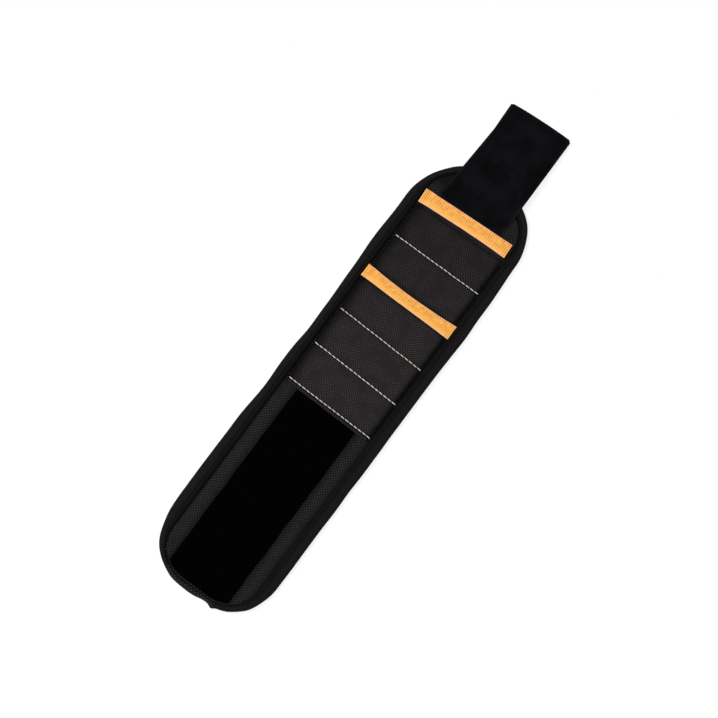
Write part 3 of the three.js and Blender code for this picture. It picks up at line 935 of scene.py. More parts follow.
# Loop tape with its pile
LOOP_STEP = 1.6 * MM
LOOP_COLUMNS = 33
LOOP_LIP = (LOOP_END + 0.3 * MM, LOOP_END + 0.8 * MM)  # more stations where the toe's end rounds off
LOOP_WAVER = 0.35 * MM
LOOP_STRAIGHT = 0.1 * MM  # the tape's sides count as straight within this
LOOP_NAP = 0.08 * MM
LOOP_EDGE_DROP, LOOP_EDGE_POWER = 0.6, 14  # how far the tape's side edges drop, and how suddenly
PILE_SHOWN = 0.8  # of its height, how much of the pile stands clear of the tape
PILE_HEIGHT = 0.75 * MM
PILE_WIDTH = 0.9 * MM
PILE_THREAD = 0.2 * MM
PILE_MARGIN, PILE_END_MARGIN = 0.5 * MM, 0.6 * MM
PILE_STRAY = 0.45  # of the pitch
PILE_OUT = np.array([-0.45, -0.5, 0, 0.5, 0.45]) * PILE_WIDTH
PILE_UP = np.array([-0.2, 0.55, 1, 0.55, -0.2])
PILE_SEED = 1000


def loop_half(x):
    """Half the loop tape's width: straight, and following the binding at the toe."""
    corner = WINDOW_HALF - sizes().window_radius
    return np.minimum(LOOP_HALF, corner + rounding(x - LOOP_END, sizes().window_radius - LOOP_GAP))


def pile_loops(form, start, end):
    """Arched loops of yarn all over the tape, each turned its own way."""
    pitch = sizes().pile_pitch
    chance = np.random.default_rng(round(start / MM) + PILE_SEED)
    x, y = np.meshgrid(np.arange(start, end, pitch), np.arange(-LOOP_HALF, LOOP_HALF, pitch))
    x = x.ravel() + chance.uniform(-PILE_STRAY, PILE_STRAY, x.size) * pitch
    y = y.ravel() + chance.uniform(-PILE_STRAY, PILE_STRAY, y.size) * pitch
    keep = (x > start + PILE_END_MARGIN) & (x < end - PILE_END_MARGIN)
    keep &= np.abs(y) < loop_half(x) - PILE_MARGIN
    x, y = x[keep, None], y[keep, None]
    turn = chance.uniform(0, 2 * math.pi, len(x))[:, None]
    tall = chance.uniform(0.7, 1.05, len(x))[:, None] * PILE_HEIGHT
    level = LOOP_TOP - PILE_HEIGHT + tall * PILE_UP
    paths = join(x + np.cos(turn) * PILE_OUT, y + np.sin(turn) * PILE_OUT, level)
    across = join(-np.sin(turn), np.cos(turn), 0.0)[:, 0]
    form.tubes(paths, across, np.full(len(PILE_OUT), PILE_THREAD / 2), sides=3)


class WRISTBAND_OT_loop_tape(bpy.types.Operator):
    """Sew the black loop tape to the lower half of the face"""

    bl_idname = "wristband.loop_tape"
    bl_label = "Loop Tape"

    def execute(self, context):
        finish = pile_cloth("loop_pile", colours().loop)
        for index, name in enumerate(STRETCHES[: HEM_FOLD + 1]):
            start = LOOP_END if index == 0 else CUTS[index]
            end = min(CUTS[index + 1], high("loop_tape_loop_inner").x)
            x = spaced(start, end, LOOP_STEP, *LOOP_LIP)[:, None]
            share = np.linspace(-1, 1, LOOP_COLUMNS)
            straight = loop_half(x) > LOOP_HALF - LOOP_STRAIGHT
            y = (loop_half(x) + LOOP_WAVER * rumple(x, 0, size=5 * MM, seed=11) * straight) * share
            rise = LOOP_TOP - PILE_HEIGHT * PILE_SHOWN - FACE
            flat_rise = rise * (1 - LOOP_EDGE_DROP * np.abs(share) ** LOOP_EDGE_POWER)
            form = Form()
            form.layer(x, y, FACE + flat_rise + LOOP_NAP * rumple(x, y, size=3 * MM, seed=12), FACE)
            pile_loops(form, start, end)
            piece = form.build(f"loop_tape_pile_{index + 1}", finish)
            fold_with(piece, index, "loop", f"loop_tape_{name}")
        return {"FINISHED"}


# Magnet panel: rows of pockets puffed up over the magnets
POCKETS = (5, 4, 3, 2, 1)  # from the hem up
TAPE_POCKET = 3  # the one that ends at the lower elastic tape
PANEL_COLUMNS = 63
PANEL_STEP = 1.15 * MM
SIDE_DRAW = 1.0 * MM
PUFF_START = 1.6 * MM
PUFF_CAP = 2.75 * MM
SETTLE_SCALE = 100  # the cloth solver suits a cloth some metres wide
SETTLE_FRAMES = 20
SETTLE_PRESSURE = 1.2
SETTLE_SLACK = 0.02
TAPE_LAND_MARGIN = 0.5 * MM
SIDE_STITCH = 1.7 * MM
SIDE_THREAD = 0.6 * MM
SIDE_STITCH_IN, SIDE_STITCH_OUT = 1.7 * MM, 1.2 * MM
SIDE_STITCH_LIFT, SIDE_STITCH_DROP = 0.2 * MM, 0.35 * MM
SIDE_STITCH_LEAN = 0.7 * MM
HEM_FOLD_LINE = 0.8 * MM
HEM_FOLD_HEIGHT = 0.4 * MM
HEM_FOLD_SPREAD = 0.5 * MM
HEM_ROWS = (0.1, 0.2, 0.3, 0.4, 0.55, 0.8)  # of the hem's depth
# Reach of the painted shade in the creases by the sides and the seams
LEFT_CREASE, RIGHT_CREASE, SEAM_CREASE = 9 * MM, 5 * MM, 1.8 * MM
TOP_DARK = 0.3
TOP_DARK_START, TOP_DARK_RUN = 15 * MM, 80 * MM
# Painted shade over the hem, and the painted highlight on its folded edge
HEM_SHADE, HEM_HIGHLIGHT = 0.3, 0.8
HEM_SHADE_GAP = 0.1 * MM  # how far short of its seam the hem's painted shade ends


def puffs():
    """Start and end of each pocket's puff along the band, from the hem up."""
    spans = []
    for number in POCKETS:
        start, end = low(f"magnet_pocket_{number}").x, high(f"magnet_pocket_{number}").x
        if number == POCKETS[0]:
            start += sizes().hem
        if number == TAPE_POCKET:
            end = low("elastic_tape_lower").x - TAPE_LAND_MARGIN
        spans.append((start, end))
    return spans


def seam_lines():
    """Lines sewn across the panel, and how far each slants up towards the right edge."""
    lines = [
        (PANEL_START, -0.4),
        (PANEL_START + sizes().hem, -0.4),
        (FOLDS[ROW_5_FOLD], -0.75),
        (FOLDS[ROW_4_FOLD], -0.75),
        (low("elastic_tape_lower").x, 0.2),
        (FOLDS[ROW_3_FOLD], 0.2),
        (FOLDS[ROW_2_FOLD], 0.5),
        (FOLDS[ROW_1_FOLD], 1.5),
        (PANEL_END, 1.5),
    ]
    return [(x, slant * MM) for x, slant in lines]


def seam_shift(x, y):
    """How far the slanting seams move a point of the panel along the band."""
    places, slants = zip(*seam_lines())
    return np.interp(x, places, slants) * -y / PANEL_HALF


def hem_fold(x):
    """One on the folded edge of the hem, falling to zero on either side of it."""
    return np.exp(-(((x - PANEL_START - HEM_FOLD_LINE) / HEM_FOLD_SPREAD) ** 2))


def panel_lift(x, y):
    """How free the panel is to puff up: zero where it is sewn down, one over a pocket."""
    shoulder = sizes().pocket_shoulder
    side = np.sin(math.pi / 2 * np.clip((PANEL_HALF - np.abs(y)) / shoulder, 0, 1))
    lift = np.zeros_like(x)
    for start, end in puffs():
        inside = np.clip(np.minimum(x - start, end - x), 0, None)
        lift = lift + np.sin(math.pi / 2 * np.clip(inside / shoulder, 0, 1)) * side
    return lift


def settle(points, sewn):
    """A grid of cloth after a simulation blows it up a little. Sewn points stay where they are."""
    rows, columns = sewn.shape
    index = np.arange(rows * columns).reshape(rows, columns)
    faces = quads(index[:-1, :-1], index[1:, :-1], index[1:, 1:], index[:-1, 1:])
    mesh = bpy.data.meshes.new("settling")
    mesh.from_pydata((points.reshape(-1, 3) * SETTLE_SCALE).tolist(), [], faces.tolist())
    sheet = put("settling", mesh)
    scene = bpy.context.scene
    sheet.vertex_groups.new(name="sewn").add(index[sewn].tolist(), 1.0, "REPLACE")
    cloth = sheet.modifiers.new("cloth", "CLOTH")
    cloth.settings.quality = 6
    cloth.settings.vertex_group_mass = "sewn"
    cloth.settings.tension_stiffness = 30
    cloth.settings.compression_stiffness = 30
    cloth.settings.bending_stiffness = 0.25
    cloth.settings.air_damping = 3
    cloth.settings.shrink_min = -SETTLE_SLACK
    cloth.settings.use_pressure = True
    cloth.settings.uniform_pressure_force = SETTLE_PRESSURE
    cloth.settings.effector_weights.gravity = 0
    cloth.collision_settings.use_collision = False
    cloth.point_cache.frame_end = SETTLE_FRAMES
    for number in range(1, SETTLE_FRAMES + 1):
        scene.frame_set(number)
    settled = np.empty(rows * columns * 3, np.float32)
    sheet.evaluated_get(bpy.context.evaluated_depsgraph_get()).data.vertices.foreach_get("co", settled)
    bpy.data.objects.remove(sheet)
    bpy.data.meshes.remove(mesh)
    scene.frame_set(1)
    if not np.isfinite(settled).all():
        raise RuntimeError("the panel's cloth did not settle")
    return settled.reshape(rows, columns, 3) / SETTLE_SCALE


def panel_painted_shading(x, y):
    """Painted shade in the creases along the sides and the seams and over the hem, the panel darker towards
    the top, and a painted highlight on the hem's folded edge.
    """
    painted_shading = dip(PANEL_HALF - y, LEFT_CREASE, least=0.2) * dip(PANEL_HALF + y, RIGHT_CREASE, least=0.25)
    for place, _ in seam_lines()[1:]:
        painted_shading = painted_shading * dip(np.abs(x - place), SEAM_CREASE, least=0.5)
    painted_shading = painted_shading * (1 - TOP_DARK * np.clip((x + y / 2 - TOP_DARK_START) / TOP_DARK_RUN, 0, 1))
    on_hem = x < PANEL_START + sizes().hem - HEM_SHADE_GAP
    return np.where(on_hem, HEM_SHADE + HEM_HIGHLIGHT * hem_fold(x), painted_shading)


def panel_cloth():
    """Flat places along and across the panel, and the points of its upper face."""
    marks = [place for place, _ in seam_lines()] + [place for span in puffs() for place in span]
    marks += [PANEL_START + share * sizes().hem for share in HEM_ROWS]
    places = spaced(PANEL_START, PANEL_END, PANEL_STEP, *marks, *CUTS)
    x, share = np.meshgrid(places, np.linspace(-1, 1, PANEL_COLUMNS), indexing="ij")
    lift = panel_lift(x, share * PANEL_HALF)
    y = share * (PANEL_HALF - SIDE_DRAW * (1 - lift.max(axis=1, keepdims=True)))
    points = join(x, y, lift * PUFF_START)
    points = settle(points, lift <= 0)
    height = PUFF_CAP * np.tanh(np.clip(points[:, :, 2], 0, None) / PUFF_CAP)
    points[:, :, 0] += seam_shift(x, y)
    points[:, :, 2] = PANEL_RIM + height + HEM_FOLD_HEIGHT * hem_fold(x)
    return x, y, points


def side_stitches(form, places, top, finish):
    """Overcast stitches that hold the panel's two sides to the cloth, sewn at these places along it."""
    lean = SIDE_STITCH_LEAN * rumple(places, 0, size=2 * MM, seed=31)
    for side, column in ((1, -2), (-1, 1)):
        level = np.interp(places, top[:, column, 0], top[:, column, 2]) + SIDE_STITCH_LIFT
        upper = join(places, side * (PANEL_HALF - SIDE_STITCH_IN), level)
        lower = join(places + lean, side * (PANEL_HALF + SIDE_STITCH_OUT), PANEL_RIM - SIDE_STITCH_DROP)
        sew(form, upper, lower, SIDE_THREAD, finish, sides=5)


class WRISTBAND_OT_magnet_panel(bpy.types.Operator):
    """Puff the magnet pockets up and sew their sides down"""

    bl_idname = "wristband.magnet_panel"
    bl_label = "Magnet Panel"

    def execute(self, context):
        shade, pitch = colours().panel, sizes().panel_pitch
        finish = basket_cloth("magnet_panel_weave", shade, pitch, gaps=0.15, yarns=4.0, crispness=0.75)
        thread = sewing_thread("panel_side_thread", colours().black_thread, BLACK_TWIST, BLACK_THREAD_SHINE)
        thickness = (0, 0, PANEL_RIM - FACE)
        panel_x, panel_y, points = panel_cloth()
        for number, index in enumerate(range(HEM_FOLD, ROW_1_FOLD + 1)):
            start = max(CUTS[index], PANEL_START)
            end = min(CUTS[index + 1], PANEL_END)
            rows = (panel_x[:, 0] >= start) & (panel_x[:, 0] <= end)
            x, y, top = panel_x[rows], panel_y[rows], points[rows]
            along, across = run_along(top, 0), run_along(top, 1)
            form = Form()
            form.slab(top, top - thickness, join(start + along, across), panel_painted_shading(x, y))
            sewn_end = min(end, high("magnet_pocket_1").x)
            side_stitches(form, np.arange(start + SIDE_STITCH / 2, sewn_end, SIDE_STITCH), top, 1)
            piece = form.build(f"magnet_panel_{number + 1}", finish, thread)
            pocket = POCKETS[max(0, index - ROW_5_FOLD)]
            nodes = [f"magnet_pocket_{pocket}"] + ["panel_top_edge"] * (index == ROW_1_FOLD)
            fold_with(piece, index, "panel", *nodes)
        return {"FINISHED"}


# Tan seams across the panel
SEAM_ASIDE = 0.2 * MM  # how far to the right the rows lie
SEAM_SHARE = 0.85  # of its length, what a stitch shows
SEAM_TWIST = 0.7 * MM
SEAM_SKEW = 0.1 * MM
SEAM_WAVER = 0.12 * MM
SEAM_LIFT = 0.12 * MM


class WRISTBAND_OT_panel_seams(bpy.types.Operator):
    """Sew the rows of pale stitches across the panel"""

    bl_idname = "wristband.panel_seams"
    bl_label = "Panel Seams"

    def execute(self, context):
        thread = sewing_thread("tan_seam_thread", colours().seam, SEAM_TWIST)
        rows = {
            "panel_seam_hem": (HEM_FOLD, PANEL_START + sizes().hem, 0.9),
            "panel_seam_row_5": (ROW_5_FOLD, FOLDS[ROW_5_FOLD], 0.95),
            "panel_seam_row_4": (ROW_4_FOLD, FOLDS[ROW_4_FOLD], 0.87),
            "panel_seam_row_2": (ROW_2_FOLD, FOLDS[ROW_2_FOLD], 0.86),
        }
        right_end, left_end = -PANEL_HALF - SEAM_ASIDE, PANEL_HALF - SEAM_ASIDE
        count = round((left_end - right_end) / sizes().seam_stitch)
        pitch = (left_end - right_end) / count
        y = right_end + pitch * np.arange(count)
        for name, (index, place, pull) in rows.items():
            ends = []
            for edge, skew in ((y, -SEAM_SKEW), (y + pitch * SEAM_SHARE, SEAM_SKEW)):
                waver = SEAM_WAVER * rumple(edge, index, size=6 * MM, seed=41)
                x = place + seam_shift(np.full_like(edge, place), edge) + waver + skew
                ends.append(join(x, edge, PANEL_RIM + SEAM_LIFT))
            form = Form()
            sew(form, *ends, sizes().seam_thread * pull, 0)
            fold_with(form.build(name, thread), index, "panel")
        return {"FINISHED"}


# Elastic tapes
TAPE_COLUMNS = 15
RIB_STATIONS = 4  # points to each rib of a tape or the strap
TAPE_RIB_DEPTH = 0.09 * MM
TAPE_WAVER = 0.1 * MM
END_PRESS = 0.15 * MM
END_PRESS_START = 0.93  # of the way from the tape's middle to its end
UNDER_ROUND = 0.1 * MM
TAPE_EDGE_DROP, TAPE_EDGE_POWER = 0.4, 8
# How the tapes' edges are drawn: the upper one in at its middle and out at the right end,
# the lower one in at its middle and in all along
LOWER_TAPE_EDGES = (1.1 * MM, 1.0 * MM, 0.0, 0.4 * MM)
UPPER_TAPE_EDGES = (0.0, 0.0, 0.7 * MM, -0.2 * MM)
UPPER_TAPE_ASIDE, UPPER_TAPE_TRIM = 0.9 * MM, 1.4 * MM
TACK_PLACES = np.array([-0.5, -0.475, 0.475, 0.5]) * 0.965  # of the tape's length
TACK_SPREAD = np.linspace(-0.4, 0.4, 7)  # of the tape's width
TACK_HALF = 0.4 * MM
TACK_DEPTH = 0.18 * MM
TACK_THREAD = 0.4 * MM


def on_tape(centre, tilt, u, v):
    """Where a place u along and v across a slanting tape lies on the band."""
    x = centre[0] - u * math.sin(tilt) + v * math.cos(tilt)
    y = centre[1] + u * math.cos(tilt) + v * math.sin(tilt)
    return x, y


def tape_slab(form, centre, long_run, width, tilt, bottom, top, edges):
    """A ribbed tape across the band, with its edges drawn in or out."""
    upper_hollow, right_flare, lower_hollow, lower_trim = edges
    pitch = sizes().tape_rib
    u = np.linspace(-long_run / 2, long_run / 2, math.ceil(long_run / pitch * RIB_STATIONS) + 1)[:, None]
    share = np.linspace(-1, 1, TAPE_COLUMNS)
    along = u / (long_run / 2)
    near_middle, rightward = 1 - along**2, np.clip(-along, 0, None)
    upper = width / 2 - upper_hollow * near_middle + right_flare * rightward
    upper = upper + TAPE_WAVER * rumple(u, 0, size=6 * MM, seed=51)
    lower = lower_trim - width / 2 + lower_hollow * near_middle
    lower = lower + TAPE_WAVER * rumple(u, 0, size=7 * MM, seed=52)
    x, y = on_tape(centre, tilt, u, lower + (upper - lower) * (share + 1) / 2)
    rib = TAPE_RIB_DEPTH * np.abs(np.sin(math.pi * u / pitch))
    edge = np.abs(share) ** TAPE_EDGE_POWER
    end_press = END_PRESS * smooth((np.abs(along) - END_PRESS_START) / (1 - END_PRESS_START))
    level = top - TAPE_RIB_DEPTH + rib - TAPE_EDGE_DROP * (top - bottom) * edge - end_press
    form.slab(join(x, y, level), join(x, y, bottom + UNDER_ROUND * edge), join(u, share * width / 2))


def tack_stitches(form, centre, long_run, width, tilt, top, finish):
    """Two close rows of stitches near each end of a tape."""
    u, v = np.meshgrid(TACK_PLACES * long_run, TACK_SPREAD * width, indexing="ij")
    ends = []
    for half in (-TACK_HALF, TACK_HALF):
        ends.append(join(*on_tape(centre, tilt, u.ravel(), v.ravel() + half), top - TACK_DEPTH))
    sew(form, *ends, TACK_THREAD, finish, sides=5)


class WRISTBAND_OT_elastic_tapes(bpy.types.Operator):
    """Stretch the two bright elastic tapes across the panel"""

    bl_idname = "wristband.elastic_tapes"
    bl_label = "Elastic Tapes"

    def execute(self, context):
        shades = (colours().tape, colours().tape_edge, colours().tape_shade)
        finish = elastic_cloth("elastic_tape_ribs", *shades, sizes().tape_rib)
        thread = sewing_thread("tape_tack_thread", colours().tack_thread, TACK_THREAD)
        tilt, width = sizes().upper_tape_tilt, sizes().upper_tape_width
        for node, index, slant, edges, aside, trim in (
            ("elastic_tape_lower", ROW_3_FOLD, 0.0, LOWER_TAPE_EDGES, 0.0, 0.0),
            ("elastic_tape_upper", ROW_1_FOLD, tilt, UPPER_TAPE_EDGES, UPPER_TAPE_ASIDE, UPPER_TAPE_TRIM),
        ):
            start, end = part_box(node)
            centre = (start + end) / 2
            centre.y += aside
            broad = width if slant else end.x - start.x
            long_run = (end.y - start.y - broad * math.sin(slant)) / math.cos(slant) - trim
            form = Form()
            tape_slab(form, centre, long_run, broad, slant, start.z, end.z, edges)
            tack_stitches(form, centre, long_run, broad, slant, end.z, 1)
            fold_with(form.build(f"{node}_ribs", finish, thread), index, "tape", node)
        return {"FINISHED"}


# Strap: its size from its solids, its flared left edge, and its slanted and bowed tip
STRAP_START = low("strap_root").x
STRAP_TIP = high("strap_tail").x
STRAP_HALF = high("strap_tail").y
STRAP_THICK_HALF = (high("strap_root").z - BINDING_TOP) / 2
STRAP_DROP = STRAP_HINGE[2] - STRAP_THICK_HALF - low("strap_tail").z
STRAP_DROOP = math.atan2(STRAP_DROP, STRAP_TIP - STRAP_HINGE[0])
STRAP_COLUMNS = 27
STRAP_BOW = 0.4 * MM
STRAP_RIB_DEPTH = 0.05 * MM
SELVEDGE_DROP, SELVEDGE_POWER = 0.5, 12
CLIMB_RUN, CLIMB_GAP = 7 * MM, 3 * MM  # length of the climb, and how far short of the binding it ends
ROOT_FLARE = 3.1 * MM
TIP_FLARE = 0.7 * MM
FLARE_TURN = 0.74  # how far along its length the strap is narrowest
LEFT_TIP_ROUND = 0.8 * MM
RIGHT_TIP_ROUND = 1.8 * MM
TIP_SLANT = math.radians(3.8)
TIP_BOW = 0.7 * MM
TIP_EXTRA = 0.4 * MM
TIP_EASE = 2 * MM
HIGHLIGHT_SIDE, HIGHLIGHT_TIP = 0.95, 0.992  # where the painted highlight on the edges starts, from the middle out and along the strap
# How much lighter the painted highlight makes the strap's sides and tip
EDGE_HIGHLIGHT = 1.6


def tip_at(y, reach):
    """How far a strip of the tail reaches at y: a slanted tip, bowed a little, with round corners."""
    turn = np.where(y > 0, LEFT_TIP_ROUND, RIGHT_TIP_ROUND)
    corner = np.clip(np.abs(y) - (STRAP_HALF - turn), 0, turn)
    rounded = turn - np.sqrt(turn**2 - corner**2)
    slanted = reach - math.tan(TIP_SLANT) * (STRAP_HALF + y)
    return slanted + TIP_BOW * (1 - (y / STRAP_HALF) ** 2) - rounded


def strap_middle(x):
    """Level of the strap's middle: sewn flat, up over the crown's binding, then down to the table."""
    climb_end = CROWN_TIP - sizes().crown_cover - CLIMB_GAP
    climb = smooth((x - climb_end + CLIMB_RUN) / CLIMB_RUN)
    root = FACE + STRAP_THICK_HALF + climb * (BINDING_TOP - FACE)
    return root - np.tan(STRAP_DROOP) * np.clip(x - STRAP_HINGE[0], 0, None)


class WRISTBAND_OT_hook_strap(bpy.types.Operator):
    """Weave the strap that closes the band"""

    bl_idname = "wristband.hook_strap"
    bl_label = "Hook Strap"

    def execute(self, context):
        pitch = sizes().strap_rib
        finish = ribbed_cloth("strap_ribs", colours().strap, pitch, specular=0.02, lit=3.4, crispness=0.4)
        long_run = STRAP_TIP - STRAP_START
        share = np.linspace(-1, 1, STRAP_COLUMNS)
        run = spaced(0, 1, pitch / RIB_STATIONS / long_run)[:, None]
        bow = STRAP_BOW * np.sin(math.pi * run) * rumple(run * long_run, 0, size=30 * MM, seed=61)
        root_lean = ROOT_FLARE * np.clip(1 - run / FLARE_TURN, 0, None)
        tip_lean = TIP_FLARE * np.clip((run - FLARE_TURN) / (1 - FLARE_TURN), 0, None)
        y = share * STRAP_HALF + (root_lean + tip_lean) * (1 + share) / 2 + bow
        ends = tip_at(share * STRAP_HALF, STRAP_TIP + TIP_EXTRA)
        x = STRAP_START + run * (long_run - TIP_EASE) + run**3 * (ends - STRAP_TIP + TIP_EASE)
        middle = strap_middle(x)
        selvedge = STRAP_THICK_HALF * (1 - SELVEDGE_DROP * np.abs(share) ** SELVEDGE_POWER)
        rib = STRAP_RIB_DEPTH * np.cos(2 * math.pi * x / pitch)
        # Painted highlight along the strap's sides and tip
        at_side = smooth((np.abs(share) - HIGHLIGHT_SIDE) / (1 - HIGHLIGHT_SIDE))
        at_tip = smooth((run - HIGHLIGHT_TIP) / (1 - HIGHLIGHT_TIP))
        form = Form()
        form.layer(x, y, middle + selvedge + rib, middle - selvedge, 1 + EDGE_HIGHLIGHT * np.maximum(at_side, at_tip))
        strap = form.build("hook_strap", finish)
        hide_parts("strap_root", "strap_tail")
        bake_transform(strap)
        return {"FINISHED"}


# Hook tape under the strap's tail, and the stitches that hold it
HOOK_START = low("hook_tape").x
HOOK_MARGIN = STRAP_TIP - high("hook_tape").x
BACKING_ROWS, BACKING_COLUMNS = 30, 21
HOOK_BASE = 0.5 * MM
HOOK_TAPE_GAP = 0.1 * MM
HOOK_TAPE_INSET = 0.6 * MM
HOOK_INSET = 1.6 * MM
HOOK_FIRST, HOOK_LAST = 1.2 * MM, 1.5 * MM  # from the tape's two ends to the nearest hooks
HOOK_THREAD = 0.24 * MM
HOOK_OUT = np.array([0, 0, 0.08, 0.3, 0.52, 0.56]) * MM
HOOK_DOWN = np.array([-0.1, 0.5, 0.8, 0.95, 0.82, 0.6]) * MM
HOOK_GIRTH = np.array([1.3, 1, 1, 1, 0.9, 0.6])
TAIL_STITCH = 2.6 * MM
TAIL_STITCH_INSET = 2.4 * MM
TAIL_STITCH_GAP = 0.12  # of a stitch, left free at each of its ends
TAIL_STITCH_LIFT = 0.05 * MM
TAIL_THREAD = 0.4 * MM


def hook_backing(x):
    """Level of the hook tape's upper face, just under the strap."""
    return strap_middle(x) - STRAP_THICK_HALF - HOOK_TAPE_GAP


def hook_rows(form):
    """Rows of small hooks that point down from the backing strip, turned this way and that."""
    pitch = sizes().hook_pitch
    reach = STRAP_HALF - HOOK_INSET
    places = np.arange(HOOK_START + HOOK_FIRST, STRAP_TIP, pitch)
    x, y = np.meshgrid(places, np.arange(-reach, reach, pitch))
    keep = x < tip_at(y, STRAP_TIP) - HOOK_MARGIN - HOOK_LAST
    x, y = x[keep], y[keep]
    facing = np.where(np.round(y / pitch) % 2 == 0, 1, -1)[:, None]
    base = (hook_backing(x) - HOOK_BASE)[:, None]
    paths = join(x[:, None] + facing * HOOK_OUT, y[:, None], base - HOOK_DOWN)
    across = np.tile((0.0, 1.0, 0.0), (len(x), 1))
    form.tubes(paths, across, HOOK_THREAD / 2 * HOOK_GIRTH, sides=5)


def tail_stitches(form):
    """A box of stitches through the tail that holds the hook tape."""
    side = STRAP_HALF - TAIL_STITCH_INSET
    first = HOOK_START + TAIL_STITCH_INSET
    right, left = tip_at(np.array([-side, side]), STRAP_TIP) - TAIL_STITCH_INSET
    corners = np.array([(first, -side), (right, -side), (left, side), (first, side), (first, -side)])
    starts, ends = [], []
    for a, b in zip(corners, corners[1:]):
        count = round(np.linalg.norm(b - a) / TAIL_STITCH)
        for number in range(count):
            starts.append(a + (b - a) * (number + TAIL_STITCH_GAP) / count)
            ends.append(a + (b - a) * (number + 1 - TAIL_STITCH_GAP) / count)
    sewn = []
    for x, y in (np.transpose(starts), np.transpose(ends)):
        sewn.append(join(x, y, strap_middle(x) + STRAP_THICK_HALF + TAIL_STITCH_LIFT))
    sew(form, *sewn, TAIL_THREAD, 0, sides=6)


class WRISTBAND_OT_hook_tape(bpy.types.Operator):
    """Line the strap's tail with hooks and sew them on"""

    bl_idname = "wristband.hook_tape"
    bl_label = "Hook Tape"

    def execute(self, context):
        finish = moulded_hooks("hook_tape_nylon", colours().hook)
        thread = sewing_thread("tail_thread", colours().black_thread, TAIL_THREAD, BLACK_THREAD_SHINE)
        share = np.linspace(-1, 1, BACKING_COLUMNS)
        run = np.linspace(0, 1, BACKING_ROWS)[:, None]
        ends = tip_at(share * STRAP_HALF, STRAP_TIP) - HOOK_MARGIN
        x = HOOK_START + run * (ends - HOOK_START)
        form = Form()
        form.layer(x, share * (STRAP_HALF - HOOK_TAPE_INSET), hook_backing(x), hook_backing(x) - HOOK_BASE)
        hook_rows(form)
        tape = form.build("hook_tape_hooks", finish)
        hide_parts("hook_tape")
        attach(tape, "strap")
        form = Form()
        tail_stitches(form)
        stitches = form.build("hook_tape_stitches", thread)
        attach(stitches, "strap")
        return {"FINISHED"}


class WRISTBAND_OT_magnets(bpy.types.Operator):
    """Plate the bar magnets inside the pockets"""

    bl_idname = "wristband.magnets"
    bl_label = "Magnets"

    def execute(self, context):
        finish = nickel_plate("magnet_nickel", colours().nickel)
        names = [name for name in frame["nodes"] if name.startswith("magnet_") and "pocket" not in name]
        if not names:
            raise RuntimeError("the packed model holds no magnets to plate")
        for name in names:
            slots = frame["nodes"][name].data.materials
            slots.clear()
            slots.append(finish)
        return {"FINISHED"}


# Stage: floor, lights and the camera straight above
BAND_ANGLE = math.radians(53.168)
PHOTO_WIDTH = 478.7 * MM
PHOTO_CENTRE = (-4.32 * MM, 3.33 * MM)
LENS = 85
SENSOR = 36
FLOOR_MARGIN = 30 * MM
FLOOR_GAP = 0.05 * MM
PAPER_SHADE = 0.93
SHADOW_SHARE = 0.38
FLOOR_GLOW = 1.2
BELOW_REACH = 0.5
BELOW_RAYS = 32
AMBIENT = 0.45


def mixed_shader(tree, share, first, second):
    mix = tree.nodes.new("ShaderNodeMixShader")
    for socket, value in zip(mix.inputs, (share, first, second)):
        feed(tree, socket, value)
    return mix.outputs[0]


def seen_or_lit(tree, shown, lit):
    """One shader for the camera and for reflections, and another as light."""
    path = tree.nodes.new("ShaderNodeLightPath")
    seen = calc(tree, "MAXIMUM", path.outputs["Is Camera Ray"], path.outputs["Is Glossy Ray"])
    seen = calc(tree, "MAXIMUM", seen, path.outputs["Is Transmission Ray"])
    return mixed_shader(tree, seen, lit, shown)


def make_world():
    world = bpy.data.worlds.new("studio")
    world.use_nodes = True
    tree = world.node_tree
    tree.nodes.clear()
    shades = []
    for strength in (1.0, AMBIENT):
        node = tree.nodes.new("ShaderNodeBackground")
        node.inputs["Color"].default_value = (1, 1, 1, 1)
        node.inputs["Strength"].default_value = strength
        shades.append(node.outputs[0])
    output = tree.nodes.new("ShaderNodeOutputWorld")
    tree.links.new(seen_or_lit(tree, *shades), output.inputs[0])
    bpy.context.scene.world = world


def floor_paper():
    """White paper that keeps a soft shadow, and clears where a folded part hangs below it."""
    material = bpy.data.materials.new("floor_paper")
    material.use_nodes = True
    tree = material.node_tree
    tree.nodes.clear()
    paper = tree.nodes.new("ShaderNodeBsdfDiffuse")
    paper.inputs["Color"].default_value = (PAPER_SHADE, PAPER_SHADE, PAPER_SHADE, 1)
    white = tree.nodes.new("ShaderNodeEmission")
    white.inputs["Strength"].default_value = FLOOR_GLOW
    shown = mixed_shader(tree, SHADOW_SHARE, white.outputs[0], paper.outputs[0])
    below = tree.nodes.new("ShaderNodeAmbientOcclusion")
    below.inside = True
    below.samples = BELOW_RAYS
    below.inputs["Distance"].default_value = BELOW_REACH
    hidden = calc(tree, "SUBTRACT", 1.0, below.outputs["AO"])
    hidden = calc(tree, "MULTIPLY", hidden, BELOW_RAYS, clamp=True)
    clear = tree.nodes.new("ShaderNodeBsdfTransparent")
    sheet = seen_or_lit(tree, shown, paper.outputs[0])
    output = tree.nodes.new("ShaderNodeOutputMaterial")
    tree.links.new(mixed_shader(tree, hidden, sheet, clear.outputs[0]), output.inputs[0])
    return material


def make_floor():
    mesh = bpy.data.meshes.new("floor")
    (x_low, y_low, _), (x_high, y_high, _) = CAD_BOX
    toe, crown = x_low - FLOOR_MARGIN, x_high + FLOOR_MARGIN
    right, left = y_low - FLOOR_MARGIN, y_high + FLOOR_MARGIN
    level = TABLE - FLOOR_GAP
    corners = [(toe, right, level), (crown, right, level), (crown, left, level), (toe, left, level)]
    mesh.from_pydata(corners, [], [(0, 1, 2, 3)])
    mesh.materials.append(floor_paper())
    floor = put("floor", mesh)


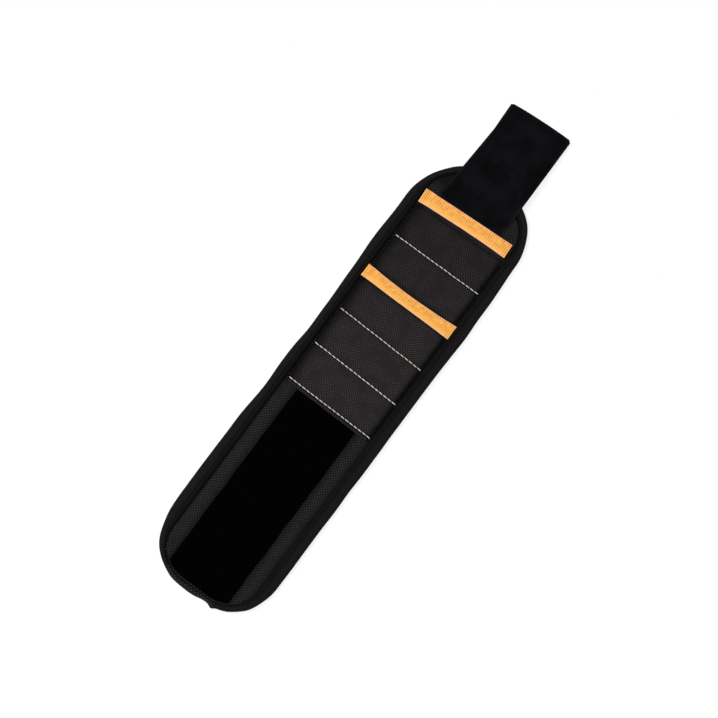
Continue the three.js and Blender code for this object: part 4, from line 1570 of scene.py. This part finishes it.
def add_lamp(name, place, size, power):
    lamp = bpy.data.lights.new(name, "AREA")
    lamp.size = size
    lamp.energy = power
    holder = put(name, lamp)
    holder.location = place
    holder.rotation_mode = "QUATERNION"
    holder.rotation_quaternion = holder.location.to_track_quat("Z", "Y")


def add_camera():
    camera = bpy.data.cameras.new("camera")
    camera.lens = LENS
    camera.sensor_width = SENSOR
    holder = put("camera", camera)
    holder.location = (*PHOTO_CENTRE, PHOTO_WIDTH * LENS / SENSOR + BINDING_TOP)
    holder.rotation_euler = (0, 0, -BAND_ANGLE)
    bpy.context.scene.camera = holder


class WRISTBAND_OT_stage(bpy.types.Operator):
    """Set up the floor, the lights and the camera"""

    bl_idname = "wristband.stage"
    bl_label = "Stage"

    def execute(self, context):
        context.scene.view_settings.view_transform = "Standard"
        make_world()
        make_floor()
        add_lamp("key_lamp", place=(-0.15, 0.85, 1.1), size=0.8, power=12.5)
        add_lamp("fill_lamp", place=(0.5, -0.7, 1.0), size=1.1, power=3)
        add_camera()
        return {"FINISHED"}


# Panel in the sidebar
STEPS = (
    WRISTBAND_OT_stage,
    WRISTBAND_OT_outer_cloth,
    WRISTBAND_OT_padded_lining,
    WRISTBAND_OT_edge_binding,
    WRISTBAND_OT_loop_tape,
    WRISTBAND_OT_magnet_panel,
    WRISTBAND_OT_panel_seams,
    WRISTBAND_OT_elastic_tapes,
    WRISTBAND_OT_hook_strap,
    WRISTBAND_OT_hook_tape,
    WRISTBAND_OT_magnets,
)


class WRISTBAND_PT_maker(bpy.types.Panel):
    """Making steps, sizes and colours of the wristband"""

    bl_idname = "WRISTBAND_PT_maker"
    bl_label = "Magnetic Wristband"
    bl_space_type = "VIEW_3D"
    bl_region_type = "UI"
    bl_category = "Wristband"

    def draw(self, context):
        for step in STEPS:
            self.layout.operator(step.bl_idname)
        for group in (sizes(), colours()):
            box = self.layout.box()
            for name in group.bl_rna.properties.keys():
                if name not in ("rna_type", "name"):
                    box.prop(group, name)


CLASSES = (WristbandSizes, WristbandColours, *STEPS, WRISTBAND_PT_maker)


def register():
    for kind in CLASSES:
        bpy.utils.register_class(kind)
    bpy.types.Scene.wristband_sizes = PointerProperty(type=WristbandSizes)
    bpy.types.Scene.wristband_colours = PointerProperty(type=WristbandColours)


def unregister():
    del bpy.types.Scene.wristband_colours
    del bpy.types.Scene.wristband_sizes
    for kind in reversed(CLASSES):
        bpy.utils.unregister_class(kind)


def main():
    register()
    bpy.ops.wristband.stage()
    bpy.ops.wristband.outer_cloth()
    bpy.ops.wristband.padded_lining()
    bpy.ops.wristband.edge_binding()
    bpy.ops.wristband.loop_tape()
    bpy.ops.wristband.magnet_panel()
    bpy.ops.wristband.panel_seams()
    bpy.ops.wristband.elastic_tapes()
    bpy.ops.wristband.hook_strap()
    bpy.ops.wristband.hook_tape()
    bpy.ops.wristband.magnets()


if __name__ == "__main__":
    main()
